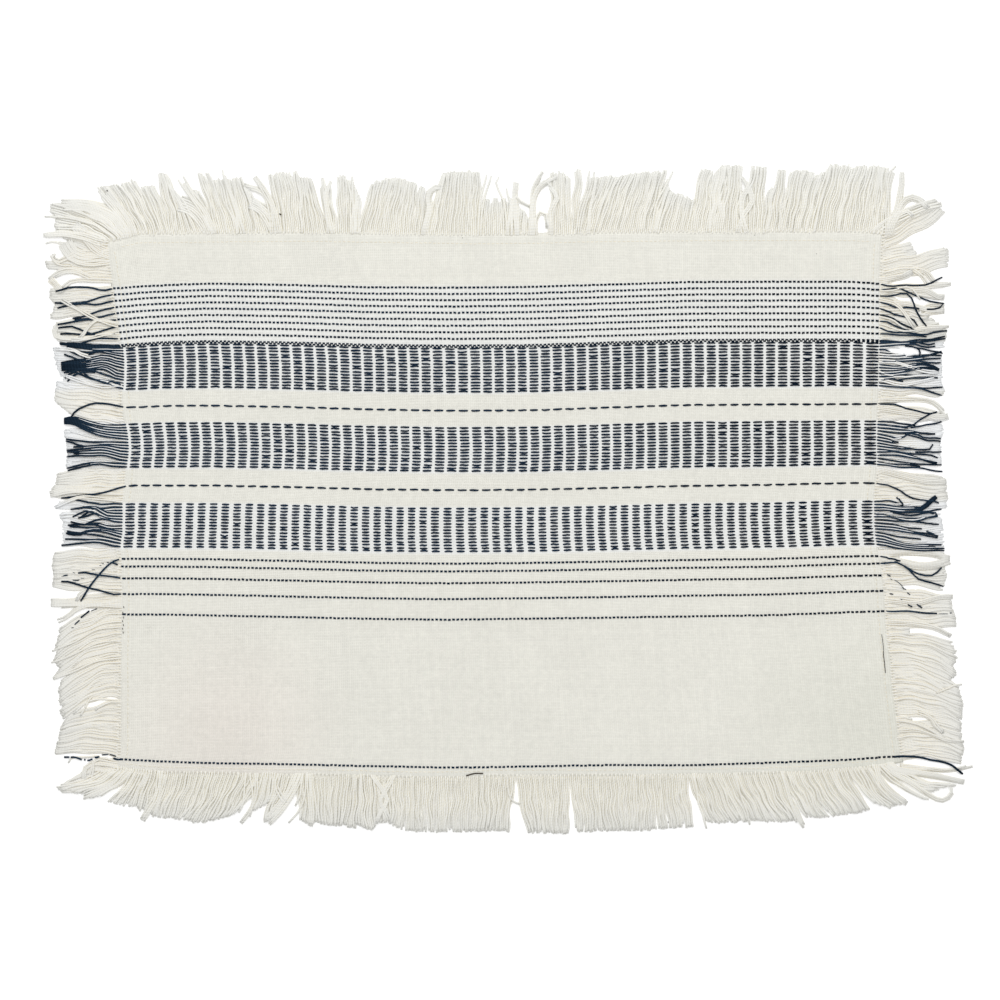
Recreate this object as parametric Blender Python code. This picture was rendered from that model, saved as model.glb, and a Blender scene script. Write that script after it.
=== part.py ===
"""Fabric placemat: a handwoven cotton cloth lying flat, fringed along all four edges.

The cloth is one sheet. Its warp runs along Y and its weft along X, so the yarn ends that stick
out past the last row of stitching make a fringe along every edge. Each fringe is one comb: a strip
along the cloth's edge, with a tooth for every tuft that shows.

Frame: metres, +Z up. The origin is under the middle of the whole mat, at the surface it lies on.
+X runs along the mat's long side and its navy stripes, +Y towards the edge nearest the dotted ones.
"""

import bmesh
import bpy

MM = 0.001

# Driving dimensions, in metres
CLOTH_THICKNESS = 0.0012
FRINGE_THICKNESS = 0.0014
EDGE_GAP = 0.0003
FOLD_HEIGHT = 0.0005  # how far the soft fold across the middle stands up
FOLD_AT = 0.0115  # the fold's place along X
FOLD_HALF_WIDTH = 0.016
RIPPLE_HEIGHT = 0.0003

CELLS_ALONG_X = 44
CELLS_ALONG_Y = 26

COTTON = {"cloth": (0.80, 0.79, 0.73), "fringe": (0.79, 0.78, 0.72)}
ROUGHNESS = 0.9

# How each cloth edge wanders. Columns: place along the edge, distance out from the middle, in mm.
TOP_EDGE = [
    (-215, 137.4),
    (-208, 139.5),
    (-198, 142.0),
    (-116, 142.7),
    (-42, 141.9),
    (-20, 141.4),
    (12, 141.7),
    (48, 142.5),
    (102, 143.0),
    (182, 143.2),
    (200, 142.0),
]
BOTTOM_EDGE = [
    (-210.6, -144.0),
    (-185, -146.3),
    (-111, -147.5),
    (-46, -148.8),
    (-26, -148.8),
    (-5, -147.8),
    (48, -147.8),
    (128, -147.0),
    (155, -146.0),
    (192, -143.3),
    (210.1, -140.0),
]
LEFT_EDGE = [
    (137.4, -215.0),
    (124, -213.8),
    (111, -211.2),
    (87, -207.8),
    (79, -205.5),
    (58, -205.2),
    (26, -202.6),
    (6, -204.2),
    (-6, -206.3),
    (-32, -207.1),
    (-101, -207.4),
    (-131, -207.1),
    (-144, -210.6),
]
RIGHT_EDGE = [
    (142, 200.0),
    (127, 198.6),
    (88, 198.4),
    (58, 198.0),
    (39, 197.0),
    (21, 197.2),
    (-6, 195.2),
    (-24, 196.2),
    (-38, 200.0),
    (-64, 201.6),
    (-96, 204.8),
    (-120, 207.4),
    (-140, 210.1),
]

# The tufts of each fringe, in order along the edge. Columns: the two corners of the tuft's blunt
# tip and the bottom of the gap after it, each as (place along the edge, distance out), in mm.
TOP_TUFTS = [
    ((-241, 143), (-244, 158.5), (-210, 153.5)),
    ((-219, 166.5), (-197.5, 167.5), (-196, 164)),
    ((-194.5, 166.5), (-188, 166), (-187, 164.5)),
    ((-186.5, 173), (-181.5, 173), (-177.5, 161.5)),
    ((-173.5, 159), (-168, 157.5), (-167, 157)),
    ((-176.5, 171), (-173, 171.5), (-165, 164)),
    ((-166, 173), (-160, 173.5), (-158, 169.5)),
    ((-153, 174.5), (-151, 174.5), (-149.5, 170)),
    ((-148.5, 171), (-142, 171.5), (-137.5, 164.5)),
    ((-135.5, 170.5), (-133.5, 171), (-126, 155.5)),
    ((-125.5, 172), (-112.5, 174.5), (-111.5, 170)),
    ((-111, 170.5), (-105, 169), (-100.5, 162.5)),
    ((-100.5, 167.5), (-95.5, 168.5), (-94, 157.5)),
    ((-91.5, 171.5), (-83, 172), (-79, 157.5)),
    ((-70.5, 169.5), (-46.5, 169.5), (-39.5, 156.5)),
    ((-36, 173), (-15.5, 173.5), (-14.5, 159)),
    ((-12, 171.5), (-9, 171), (-10, 160)),
    ((1.5, 167), (5, 168.5), (12, 149)),
    ((14, 165.5), (17.5, 172.5), (21.5, 148.5)),
    ((23.5, 171), (32.5, 175), (35, 171.5)),
    ((36, 175), (39, 175.5), (41.5, 162)),
    ((43, 174), (46, 174), (46, 155)),
    ((50.5, 170), (55.5, 172), (56.5, 170.5)),
    ((62, 173), (85, 174.5), (86.5, 163.5)),
    ((87.5, 162), (93.5, 163.5), (97, 158)),
    ((103, 175), (111.5, 176.5), (110.5, 163)),
    ((113.5, 177), (124.5, 177.5), (126, 153)),
    ((129, 177), (137, 175.5), (140, 166)),
    ((143, 175), (148.5, 175), (149, 169)),
    ((150.5, 174.5), (157, 175), (158.5, 171.5)),
    ((161.5, 174.5), (170.5, 175), (170.7, 171.5)),
    ((172.5, 177.5), (183, 177.5), (184.5, 174)),
    ((186, 177), (201, 176.5), (203.5, 155)),
    ((208, 173.5), (210.5, 174), (208, 148.5)),
    ((223.5, 160), (233, 152.5), (212, 138)),
]
BOTTOM_TUFTS = [
    ((-240.5, -152), (-240, -155.5), (-215.5, -156.5)),
    ((-213.5, -160), (-197.5, -164), (-197, -165)),
    ((-197, -170), (-193, -171.5), (-190, -167)),
    ((-186.5, -170.5), (-182, -170.5), (-179.5, -167.5)),
    ((-176, -171), (-171, -171), (-169, -169.5)),
    ((-168, -172), (-160, -171.5), (-156.5, -168.5)),
    ((-153, -171), (-147, -170), (-142.5, -165)),
    ((-143.5, -172.5), (-141.5, -172.5), (-136.5, -166)),
    ((-131.5, -172), (-126.5, -172), (-109.5, -150.5)),
    ((-107.5, -173.5), (-103.5, -173.5), (-102.5, -166.5)),
    ((-100, -172.5), (-91, -172), (-88.5, -170)),
    ((-87, -175), (-84.5, -174), (-78, -168.5)),
    ((-76.5, -175.5), (-71.5, -175.5), (-70.5, -169)),
    ((-70, -173), (-63.5, -172.5), (-62.5, -172)),
    ((-59.5, -176.5), (-52.5, -175.5), (-51.5, -172.5)),
    ((-50, -176.5), (-15, -177), (-14.5, -162)),
    ((-14, -177), (-0.5, -176.5), (3.5, -154)),
    ((9.5, -177), (33, -177.5), (32, -155.5)),
    ((35.5, -177), (99, -175), (101, -166)),
    ((104.5, -174), (107, -175), (107.2, -171)),
    ((108.5, -172), (122, -172), (124, -170.5)),
    ((128.5, -173), (130, -171), (134, -170)),
    ((136, -172.5), (150, -171.5), (152, -172)),
    ((154.5, -175), (158.5, -173.5), (160.5, -169.5)),
    ((166, -166), (187, -167), (188, -161)),
    ((189, -166), (192.5, -165.5), (194.5, -162)),
    ((200, -165), (209, -163), (198, -153.5)),
    ((222.5, -160.5), (224.5, -160), (226, -155.5)),
    ((235, -151), (242, -150.5), (217, -142.5)),
]
LEFT_TUFTS = [
    ((136.5, -241), (126, -247), (121, -228)),
    ((117, -244.5), (108, -244), (106.5, -241)),
    ((105.5, -241.5), (101.5, -241.5), (101, -239)),
    ((100, -244), (96.5, -244.5), (95, -238)),
    ((92, -241), (87.5, -243.5), (84, -238)),
    ((80, -243), (74, -239), (73, -238)),
    ((71.5, -239), (67, -238.5), (65, -236.5)),
    ((63, -241), (51.5, -241.5), (47, -233.5)),
    ((44.5, -236), (40.5, -237), (38.5, -235)),
    ((36, -236), (15.5, -235.5), (14.5, -232.5)),
    ((13.5, -241.5), (2.5, -244), (0, -238)),
    ((-3.5, -241), (-9, -239), (-11.5, -235)),
    ((-14.5, -235.5), (-25, -237), (-26, -236)),
    ((-30, -242.5), (-39, -242), (-40.5, -238)),
    ((-42.5, -242.5), (-47.5, -242.5), (-51.5, -219.5)),
    ((-54, -243.5), (-58, -235.5), (-58.5, -228.5)),
    ((-64, -239.5), (-65, -239), (-66, -232)),
    ((-68.5, -239), (-80.5, -242.5), (-83.5, -237)),
    ((-86.5, -243), (-95, -242.5), (-98, -235.5)),
    ((-101.5, -240), (-115, -240), (-121.5, -235.5)),
    ((-123.5, -239), (-134, -241.5), (-137.5, -237)),
]
RIGHT_TUFTS = [
    ((134.5, 233.5), (123, 234.5), (117, 211)),
    ((117.5, 231), (113.5, 235.5), (111, 224.5)),
    ((108, 232), (100, 232), (94.5, 213.5)),
    ((91, 233.5), (82, 233), (80, 228.5)),
    ((78.5, 230.5), (65, 230), (62, 228.5)),
    ((59, 232.5), (54, 231.5), (51.5, 216.5)),
    ((47, 234.5), (42, 234.5), (40, 230.5)),
    ((36, 231.5), (29.5, 229), (27.5, 229.5)),
    ((26, 230), (15, 231), (11.5, 223.5)),
    ((10.5, 233), (-3.5, 234), (-6, 230)),
    ((-10.5, 230), (-26.5, 232), (-28, 231.5)),
    ((-29.5, 234.5), (-34, 234.5), (-37.5, 230.5)),
    ((-41.5, 232.5), (-47.5, 231.5), (-49, 220)),
    ((-50.5, 235.5), (-59.5, 236.5), (-61, 236)),
    ((-63, 238.5), (-72.5, 235.5), (-70, 215.5)),
    ((-76, 236.5), (-90, 239.5), (-96, 235.5)),
    ((-99.5, 240.5), (-113.5, 241.5), (-115.5, 240)),
    ((-117, 242), (-127.5, 241.5), (-129.5, 239)),
    ((-131.5, 243.5), (-142, 247), (-143, 232.5)),
]


def clear_scene():
    for old in list(bpy.data.objects):
        bpy.data.objects.remove(old)


def ease(t):
    """Goes from 0 to 1 with a level start and end."""
    t = min(max(t, 0.0), 1.0)
    return t * t * (3 - 2 * t)


def distance_out(stations, place):
    """The edge's distance out at a place along it, eased from one station to the next. All in mm."""
    ordered = sorted(stations)
    for (place_a, out_a), (place_b, out_b) in zip(ordered, ordered[1:]):
        if place <= place_b:
            return out_a + (out_b - out_a) * ease((place - place_a) / (place_b - place_a))
    return ordered[-1][1]


def between(stations, share):
    """The place that lies a share of the way from the first station to the last, in mm."""
    first, last = stations[0][0], stations[-1][0]
    return first + (last - first) * share


def cloth_point(across, up):
    """A point of the cloth in metres; across runs from the left edge and up from the bottom edge, 0 to 1."""
    down = 1 - up
    left = distance_out(LEFT_EDGE, between(LEFT_EDGE, down))
    right = distance_out(RIGHT_EDGE, between(RIGHT_EDGE, down))
    bottom = distance_out(BOTTOM_EDGE, between(BOTTOM_EDGE, across))
    top = distance_out(TOP_EDGE, between(TOP_EDGE, across))
    x = left + (right - left) * across
    y = bottom + (top - bottom) * up
    return x * MM, y * MM


def relief(x, inside):
    """How far the cloth's upper face stands up at x; inside goes to 0 at the cloth's edges."""
    fold = FOLD_HEIGHT * (1 - ease(abs(x - FOLD_AT) / FOLD_HALF_WIDTH))
    ripple = 0.0
    for middle, half_width in ((-0.057, 0.030), (0.098, 0.036), (-0.140, 0.034)):
        ripple += RIPPLE_HEIGHT * (1 - ease(abs(x - middle) / half_width))
    return (fold + ripple) * ease(inside * 8)


def add_object(name, mesh_builder, colour):
    mesh = bpy.data.meshes.new(name)
    bmesh.ops.triangulate(mesh_builder, faces=mesh_builder.faces[:])
    bmesh.ops.recalc_face_normals(mesh_builder, faces=mesh_builder.faces[:])
    mesh_builder.to_mesh(mesh)
    mesh_builder.free()
    made = bpy.data.objects.new(name, mesh)
    bpy.context.scene.collection.objects.link(made)
    material = bpy.data.materials.new(name + "_cotton")
    material.use_nodes = True
    shader = material.node_tree.nodes["Principled BSDF"]
    shader.inputs["Base Color"].default_value = (*colour, 1.0)
    shader.inputs["Roughness"].default_value = ROUGHNESS
    shader.inputs["Metallic"].default_value = 0.0
    mesh.materials.append(material)
    return made


def make_cloth():
    """A sheet with a flat underside and an upper face with the cloth's soft fold and ripples."""
    bm = bmesh.new()
    upper, lower = [], []
    for row in range(CELLS_ALONG_Y + 1):
        upper.append([])
        lower.append([])
        for column in range(CELLS_ALONG_X + 1):
            across, up = column / CELLS_ALONG_X, row / CELLS_ALONG_Y
            x, y = cloth_point(across, up)
            inside = min(across, 1 - across, up, 1 - up)
            upper[-1].append(bm.verts.new((x, y, CLOTH_THICKNESS + relief(x, inside))))
            on_rim = row in (0, CELLS_ALONG_Y) or column in (0, CELLS_ALONG_X)
            lower[-1].append(bm.verts.new((x, y, 0.0)) if on_rim else None)
    for row in range(CELLS_ALONG_Y):
        for column in range(CELLS_ALONG_X):
            corners = [(row, column), (row, column + 1), (row + 1, column + 1), (row + 1, column)]
            bm.faces.new([upper[r][c] for r, c in corners])
    rim = [(0, c) for c in range(CELLS_ALONG_X)]
    rim += [(r, CELLS_ALONG_X) for r in range(CELLS_ALONG_Y)]
    rim += [(CELLS_ALONG_Y, c) for c in range(CELLS_ALONG_X, 0, -1)]
    rim += [(r, 0) for r in range(CELLS_ALONG_Y, 0, -1)]
    for (r0, c0), (r1, c1) in zip(rim, rim[1:] + rim[:1]):
        bm.faces.new((lower[r0][c0], lower[r1][c1], upper[r1][c1], upper[r0][c0]))
    bm.faces.new([lower[r][c] for r, c in reversed(rim)])
    return add_object("cloth", bm, COTTON["cloth"])


def make_fringe(name, cloth_edge, tufts, tuft_point):
    """One comb: cloth_edge are its points along the cloth, and tuft_point turns a table pair into x, y."""
    outline = list(cloth_edge)
    teeth = [tuft_point(pair) for tuft in tufts for pair in tuft]
    outline += reversed(teeth[:-1])  # the last gap is the corner of the mat, where the comb ends
    bm = bmesh.new()
    base = bm.faces.new([bm.verts.new((x, y, 0.0)) for x, y in outline])
    raised = bmesh.ops.extrude_face_region(bm, geom=[base])
    moved = [item for item in raised["geom"] if isinstance(item, bmesh.types.BMVert)]
    bmesh.ops.translate(bm, verts=moved, vec=(0, 0, FRINGE_THICKNESS))
    return add_object(name, bm, COTTON["fringe"])


def along_x(pair):
    place, out = pair
    return place * MM, out * MM


def along_y(pair):
    place, out = pair
    return out * MM, place * MM


def make_fringes():
    columns = [c / CELLS_ALONG_X for c in range(CELLS_ALONG_X + 1)]
    rows = [1 - r / CELLS_ALONG_Y for r in range(CELLS_ALONG_Y + 1)]
    top = [cloth_point(across, 1) for across in columns]
    bottom = [cloth_point(across, 0) for across in columns]
    left = [cloth_point(0, up) for up in rows]
    right = [cloth_point(1, up) for up in rows]
    make_fringe("fringe_top", [(x, y + EDGE_GAP) for x, y in top], TOP_TUFTS, along_x)
    make_fringe("fringe_bottom", [(x, y - EDGE_GAP) for x, y in bottom], BOTTOM_TUFTS, along_x)
    make_fringe("fringe_left", [(x - EDGE_GAP, y) for x, y in left], LEFT_TUFTS, along_y)
    make_fringe("fringe_right", [(x + EDGE_GAP, y) for x, y in right], RIGHT_TUFTS, along_y)


clear_scene()
make_cloth()
make_fringes()
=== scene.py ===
"""A handwoven cotton placemat, ivory with navy weft stripes, lying flat with a loose yarn fringe all round.

The tables are in millimetres, in the part's own frame: x to the right along the stripes, y towards the
edge nearest the dotted stripes, z up. The loom's own counts place everything that is woven: warp numbers
run from left to right, and pick numbers run down from the top edge.
"""

import itertools
import math

import bmesh
import bpy
import numpy as np
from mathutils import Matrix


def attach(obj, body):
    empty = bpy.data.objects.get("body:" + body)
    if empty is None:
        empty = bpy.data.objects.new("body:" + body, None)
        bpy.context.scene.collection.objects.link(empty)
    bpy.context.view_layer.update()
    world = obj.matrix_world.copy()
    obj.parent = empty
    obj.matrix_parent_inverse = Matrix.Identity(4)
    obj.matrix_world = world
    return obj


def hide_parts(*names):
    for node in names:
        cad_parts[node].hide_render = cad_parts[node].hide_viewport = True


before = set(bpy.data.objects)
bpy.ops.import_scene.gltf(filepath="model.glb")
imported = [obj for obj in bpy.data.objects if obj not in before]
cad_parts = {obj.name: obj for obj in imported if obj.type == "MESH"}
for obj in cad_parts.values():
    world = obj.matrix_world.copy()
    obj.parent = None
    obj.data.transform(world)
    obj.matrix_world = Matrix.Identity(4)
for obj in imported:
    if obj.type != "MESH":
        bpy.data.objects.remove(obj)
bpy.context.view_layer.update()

MM = 0.001
rng = np.random.default_rng(1914)

# ---------------------------------------------------------------- the weave

# Warp number, and its place as a share of the cloth's width.
WARP_SHARES = [
    (0, 0.0034), (60, 0.1617), (120, 0.3168), (156, 0.4079), (180, 0.4737), (210, 0.5501),
    (240, 0.6290), (270, 0.7052), (300, 0.7843), (330, 0.8623), (360, 0.9438), (372, 0.9778), (378, 0.9985),
    (378.6, 1.0),
]
# Pick number, and its height at x = -180.
PICK_HEIGHTS = [
    (0, 142.1), (34.5, 114.1), (38.5, 110.8), (42.5, 107.6), (46.5, 104.3), (50.5, 101.0), (54.5, 97.6),
    (58.5, 94.2), (62.5, 90.8), (66.5, 87.4), (70.5, 83.9), (71.5, 83.1), (72.5, 82.2), (100.5, 59.7),
    (112.5, 49.9), (124.5, 40.6), (152.5, 17.5), (164.5, 7.35), (176.5, -2.5), (204.5, -25.3),
    (211.5, -31.7), (216.5, -35.8), (223.5, -42.1), (233.5, -50.5), (247.5, -61.4), (343.5, -139.9),
    (351.5, -146.4),
]
# The weft isn't quite straight: for some picks by number, the height at each of these places along x.
WEFT_STATIONS = [-212, -203, -196, -190, -180, -159, -116, -74, -31, 11, 54, 97, 139, 182, 203]
WEFT_LINES = {
    34.5: [
        111.9, 112.5, 113.1, 113.4, 113.9, 114.6, 113.9, 112.6, 112.4, 112.8, 114.1, 115.4, 115.6, 115.6,
        114.1,
    ],
    66.5: [84.6, 85.6, 86.2, 86.7, 87.1, 87.6, 86.9, 85.6, 85.2, 85.5, 86.9, 88.2, 88.4, 88.5, 87.7],
    112.5: [48.6, 48.8, 48.9, 49.2, 49.6, 49.7, 48.9, 47.7, 46.9, 47.2, 48.7, 50.0, 50.3, 50.5, 50.5],
    164.5: [6.8, 7.0, 7.2, 7.2, 7.1, 7.2, 6.4, 5.2, 4.7, 4.9, 5.9, 7.0, 7.5, 8.6, 8.3],
    247.5: [
        -61.3, -61.4, -61.4, -61.4, -61.5, -61.9, -62.8, -63.7, -64.2, -63.6, -63.1, -62.4, -61.8, -60.2,
        -59.6,
    ],
    343.5: [
        -138.2, -138.6, -139.0, -139.3, -139.8, -140.5, -141.1, -142.1, -142.9, -142.3, -141.5, -141.6,
        -140.3, -138.7, -137.0,
    ],
}
# The left edge, top to bottom: height, and x.
LEFT_EDGE = [
    (137.4, -214.6), (127.3, -213.5), (119.3, -212.4), (112.4, -211.2), (105.4, -210.3), (99.0, -209.4),
    (92.1, -208.4), (85.2, -207.5), (79.3, -206.5), (71.9, -206.1), (65.5, -206.2), (59.1, -206.7),
    (49.0, -206.6), (39.9, -205.3), (36.7, -204.6), (33.5, -204.0), (28.8, -203.7), (23.4, -203.8),
    (18.6, -204.6), (6.9, -205.2), (-2.7, -206.8), (-9.1, -207.0), (-16.5, -207.0), (-25.0, -208.2),
    (-32.0, -206.9), (-42.1, -206.8), (-50.6, -206.5), (-61.2, -206.8), (-80.4, -207.1), (-128.3, -207.1),
    (-137.5, -207.6), (-141.6, -209.8),
]
TOP_PICK, BOTTOM_PICK = 0.0, 351.5
# Navy picks. A dotted pick passes over every second warp, odd or even by its number.
DOTTED_PICKS = [34, 38, 42, 46, 50, 54, 58, 62, 66, 70, 71, 211, 216, 223, 233, 247, 343]
# A float pick passes over five warps and under the sixth: its pick, and half a float's length in warps.
DASHED_PICKS = [(112, 1.88), (164, 1.88)]
FLOAT_BANDS = [(72, 100, 2.05), (124, 152, 1.95), (176, 204, 1.52)]
WARPS_PER_FLOAT = 6
FIRST_WARP, LAST_WARP = -2.4, 378.6
ANCHOR_WARP = 60  # to its left, the warps follow the left edge

# The cloth's relief
CLOTH_TOP = 1.15
CLOTH_UNDERSIDE = 0.2
UNDER_FOLLOWS = 0.6  # the underside has this share of the folds
RIM_TOP = 0.85
RIM_WIDTH = 1.6
RIM_UNDER = 0.1  # at the rim the underside comes up by this much
FOLD = (11.5, 16.0, 0.5)  # place along x, half its width, height
RIPPLES = [(-57.0, 30.0, 0.3), (98.0, 36.0, 0.3), (-140.0, 34.0, 0.3)]
WAVE_HEIGHT = 0.15
FLAT_MARGIN = 30.0  # over this distance the folds die out towards an edge

# ---------------------------------------------------------------- the loose yarns

YARN_HALF_WIDTH = 0.60
YARN_HALF_HEIGHT = 0.36
SIDE_HALF_HEIGHT = 0.21  # along the two short edges the yarns lie flatter
WARP_PITCH = 1.05
WEFT_PITCH = 0.82

# Tufts, in order along each edge: where the tuft leaves the cloth, from and to, the two corners of its
# cut end, how far the cut end bulges, and for some how far the tuft arches up on its way.
TOP_TUFTS = [
    (-217.5, -213.5, (-240.5, 140.5), (-241.5, 146), 0),
    (-214.5, -209.5, (-242, 145.5), (-241, 152), 0),
    (-210.5, -206.5, (-244, 152.5), (-244, 158), 0),
    (-207, -201.5, (-240.5, 157.5), (-224, 158.5), 0.5),
    (-201.5, -198, (-219.5, 165.5), (-214.5, 166.5), 0),
    (-198.5, -192, (-214.5, 166.5), (-206.5, 167.5), 0.5),
    (-192.5, -187, (-206.5, 167.5), (-201.5, 169), 0.5),
    (-189, -185, (-201.5, 170.5), (-198, 169), 0),
    (-186, -179.5, (-195.5, 166), (-187.5, 167), 0.5),
    (-180.5, -171, (-187, 173.5), (-181.5, 173.5), 0),
    (-171, -161.5, (-181, 167.5), (-176.5, 161), 0.5),
    (-161.5, -156.5, (-169.5, 164.5), (-164.5, 164.5), 0),
    (-157, -149.5, (-166, 173), (-159.5, 174), 0),
    (-150, -144, (-158.5, 169), (-152.5, 170), 0.5),
    (-144, -134, (-149, 170), (-141.5, 171.5), 0),
    (-134.5, -123.5, (-141, 166.5), (-133.5, 158.5), 0.5),
    (-123.5, -119, (-128, 172.5), (-124.5, 172.5), 0),
    (-119.5, -109.5, (-124, 173.5), (-112.5, 174.5), 0.5),
    (-110, -96.5, (-112, 171), (-105, 170), 0.5),
    (-97, -91, (-100.5, 166), (-95, 167.5), 0),
    (-91, -82.5, (-91.5, 172), (-82.5, 172), 0),
    (-83.5, -79.5, (-82.5, 170), (-79, 158), 0),
    (-80.5, -45, (-73, 167.5), (-42.5, 164), 5),
    (-43, -15, (-36, 173.5), (-15, 174), 0.5),
    (-15, 2, (-14.5, 159), (2, 160), 0.5),
    (1, 12.5, (2.5, 159), (11.5, 148), 1),
    (21.5, 34, (22.5, 174), (32.5, 170.5), 1.5),
    (33.5, 38, (35, 175.5), (39, 175.5), 0),
    (37.5, 46, (46.5, 171), (55.5, 172.5), 0),
    (45, 76.5, (55.5, 171), (84.5, 174.5), 1),
    (75.5, 80, (84, 170), (86, 164), 0),
    (79.5, 95.5, (87, 163.5), (99, 159), 0.5),
    (95.5, 107, (102.5, 175.5), (112, 175), 0),
    (107, 121.5, (113.5, 177.5), (125, 177.5), 0),
    (120.5, 126.5, (122.5, 163.5), (126.5, 163.5), 0),
    (125.5, 136, (129, 177), (137, 177), 0),
    (135, 138.5, (138.5, 164), (142.5, 168), 0),
    (138, 144, (143, 175), (148.5, 175), 0),
    (143.5, 146, (148.5, 164), (151, 165), 0),
    (143.5, 150.5, (150.5, 175), (157, 175), 0),
    (150.5, 158.5, (158.5, 175), (166, 171.5), 0.5),
    (158.5, 162.5, (166.5, 174.5), (171, 175), 0),
    (162.5, 175.5, (171.5, 177.5), (183.5, 177.5), 0.5),
    (175.5, 199.5, (184.5, 177.5), (203, 175.5), 1),
    (192.5, 200, (226.5, 160), (231.5, 156), 0),
]
BOTTOM_TUFTS = [
    (-213.5, -207.5, (-240.5, -153.5), (-238.5, -155.5), 0),
    (-208.5, -203, (-234.5, -156), (-225.5, -157), 0),
    (-204, -199.5, (-226.5, -160), (-216.5, -157.5), 0),
    (-200.5, -191, (-213.5, -161), (-198, -163.5), 0.5),
    (-191.5, -182.5, (-198, -164.5), (-189.5, -167.5), 0),
    (-183, -171, (-190, -168.5), (-179.5, -170), 0.5),
    (-171.5, -157.5, (-179.5, -169.5), (-168.5, -171), 1),
    (-158, -143.5, (-168.5, -172), (-156.5, -170), 1),
    (-144, -130.5, (-156.5, -169.5), (-142.5, -164.5), 2),
    (-131.5, -123.5, (-137.5, -167), (-125.5, -160), 0.5),
    (-125, -113, (-130, -172), (-126, -170), 0),
    (-113, -104.5, (-111.5, -170.5), (-104, -173.5), 0),
    (-104.5, -84.5, (-102.5, -172), (-88.5, -173.5), 1),
    (-85.5, -81, (-89, -173), (-84.5, -175), 0),
    (-82.5, -78.5, (-83, -175), (-80, -175), 0),
    (-78.5, -71.5, (-76.5, -175.5), (-71, -175.5), 0),
    (-71.5, -61, (-70.5, -172), (-62.5, -172.5), 0),
    (-62, -51.5, (-62.5, -174), (-52, -177), 0),
    (-51, -14, (-51.5, -177), (-15, -177), 0),
    (-14, 4, (-13.5, -176.5), (-0.5, -177), 0),
    (4, 32.5, (9.5, -177.5), (32, -178), 0),
    (32.5, 67, (35.5, -177), (68, -176.5), 0),
    (67, 95.5, (68.5, -176.5), (99, -174.5), 0),
    (95.5, 110.5, (105, -171), (122, -172), 1),
    (110.5, 121.5, (122, -171), (133.5, -170.5), 0.5),
    (121.5, 138, (133.5, -170.5), (150.5, -172), 1),
    (137.5, 146.5, (150, -171.5), (158.5, -173.5), 0),
    (146, 173.5, (158, -169), (187.5, -166.5), 1),
    (173, 181, (187.5, -166), (193, -166), 0),
    (180.5, 188, (194.5, -161.5), (203, -165), 0),
    (187, 192.5, (202.5, -164.5), (209, -163), 0),
    (192, 195.5, (210, -162.5), (212.5, -160.5), 0),
    (195, 199, (220, -159), (224.5, -160), 0),
    (198, 204.5, (225.5, -156), (239, -153), -1),
]
LEFT_TUFTS = [
    (138, 131, (-239.5, 143), (-236.5, 139), 0),
    (133, 126, (-231, 137), (-240, 136.5), 0),
    (128, 118, (-246.5, 126.5), (-245, 122.5), 0),
    (113.5, 107.5, (-244, 111.5), (-244, 107), 0),
    (107.5, 97.5, (-241.5, 104.5), (-244.5, 96.5), 0),
    (97.5, 87, (-241, 94.5), (-243, 88.5), 0),
    (87, 81.5, (-241.5, 85.5), (-239, 83.5), 0),
    (81.5, 59, (-243, 80), (-236, 61), 1),
    (59, 46.5, (-241, 63), (-241.5, 52.5), 0),
    (46.5, 39, (-240.5, 51.5), (-232.5, 44.5), 0),
    (40, 31.5, (-236.5, 36.5), (-236.5, 32.5), 0),
    (31.5, 16.5, (-235.5, 31), (-235.5, 16), 0),
    (16.5, 7, (-240.5, 14.5), (-241.5, 6.5), 0),
    (7, -0.5, (-243, 5.5), (-243.5, 1), 0),
    (-0.5, -7, (-239, -1), (-241, -5), 0),
    (-7, -13.5, (-238, -7), (-238.5, -10.5), 0),
    (-13.5, -26, (-237, -11.5), (-238, -25.5), 0),
    (-26, -32.5, (-241.5, -28), (-243, -32), 0),
    (-32.5, -40, (-243.5, -34), (-242, -39.5), 0),
    (-40, -48.5, (-242, -41.5), (-242.5, -47.5), 0),
    (-49.5, -57, (-243.5, -54), (-238, -58), 0),
    (-56, -61, (-239, -68.5), (-240.5, -75), 0, 3.5),
    (-60.5, -65.5, (-240, -75), (-242.5, -80), 0, 4),
    (-65, -71.5, (-240.5, -80.5), (-242.5, -87), 0, 4.5),
    (-71, -76, (-240.5, -87.5), (-238.5, -92), 0, 4.5),
    (-75.5, -81.5, (-239.5, -91.5), (-242.5, -95.5), 0, 4.5),
    (-81, -87, (-238.5, -96), (-240, -102), 0, 4.5),
    (-86.5, -92, (-240, -101.5), (-239, -108), 0, 4.5),
    (-91.5, -100, (-239, -107.5), (-236.5, -113), 0, 4.5),
    (-99.5, -106, (-239.5, -113.5), (-236.5, -117), 0, 6.5),
    (-108, -118.5, (-235.5, -117.5), (-238.5, -123), 0, 4),
    (-118, -128.5, (-238.5, -122.5), (-240, -129), 0, 4),
    (-128, -137.5, (-240.5, -129), (-241.5, -135.5), 0, 3),
    (-137, -145.5, (-239, -153.5), (-226, -144.5), 0),
]
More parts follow.
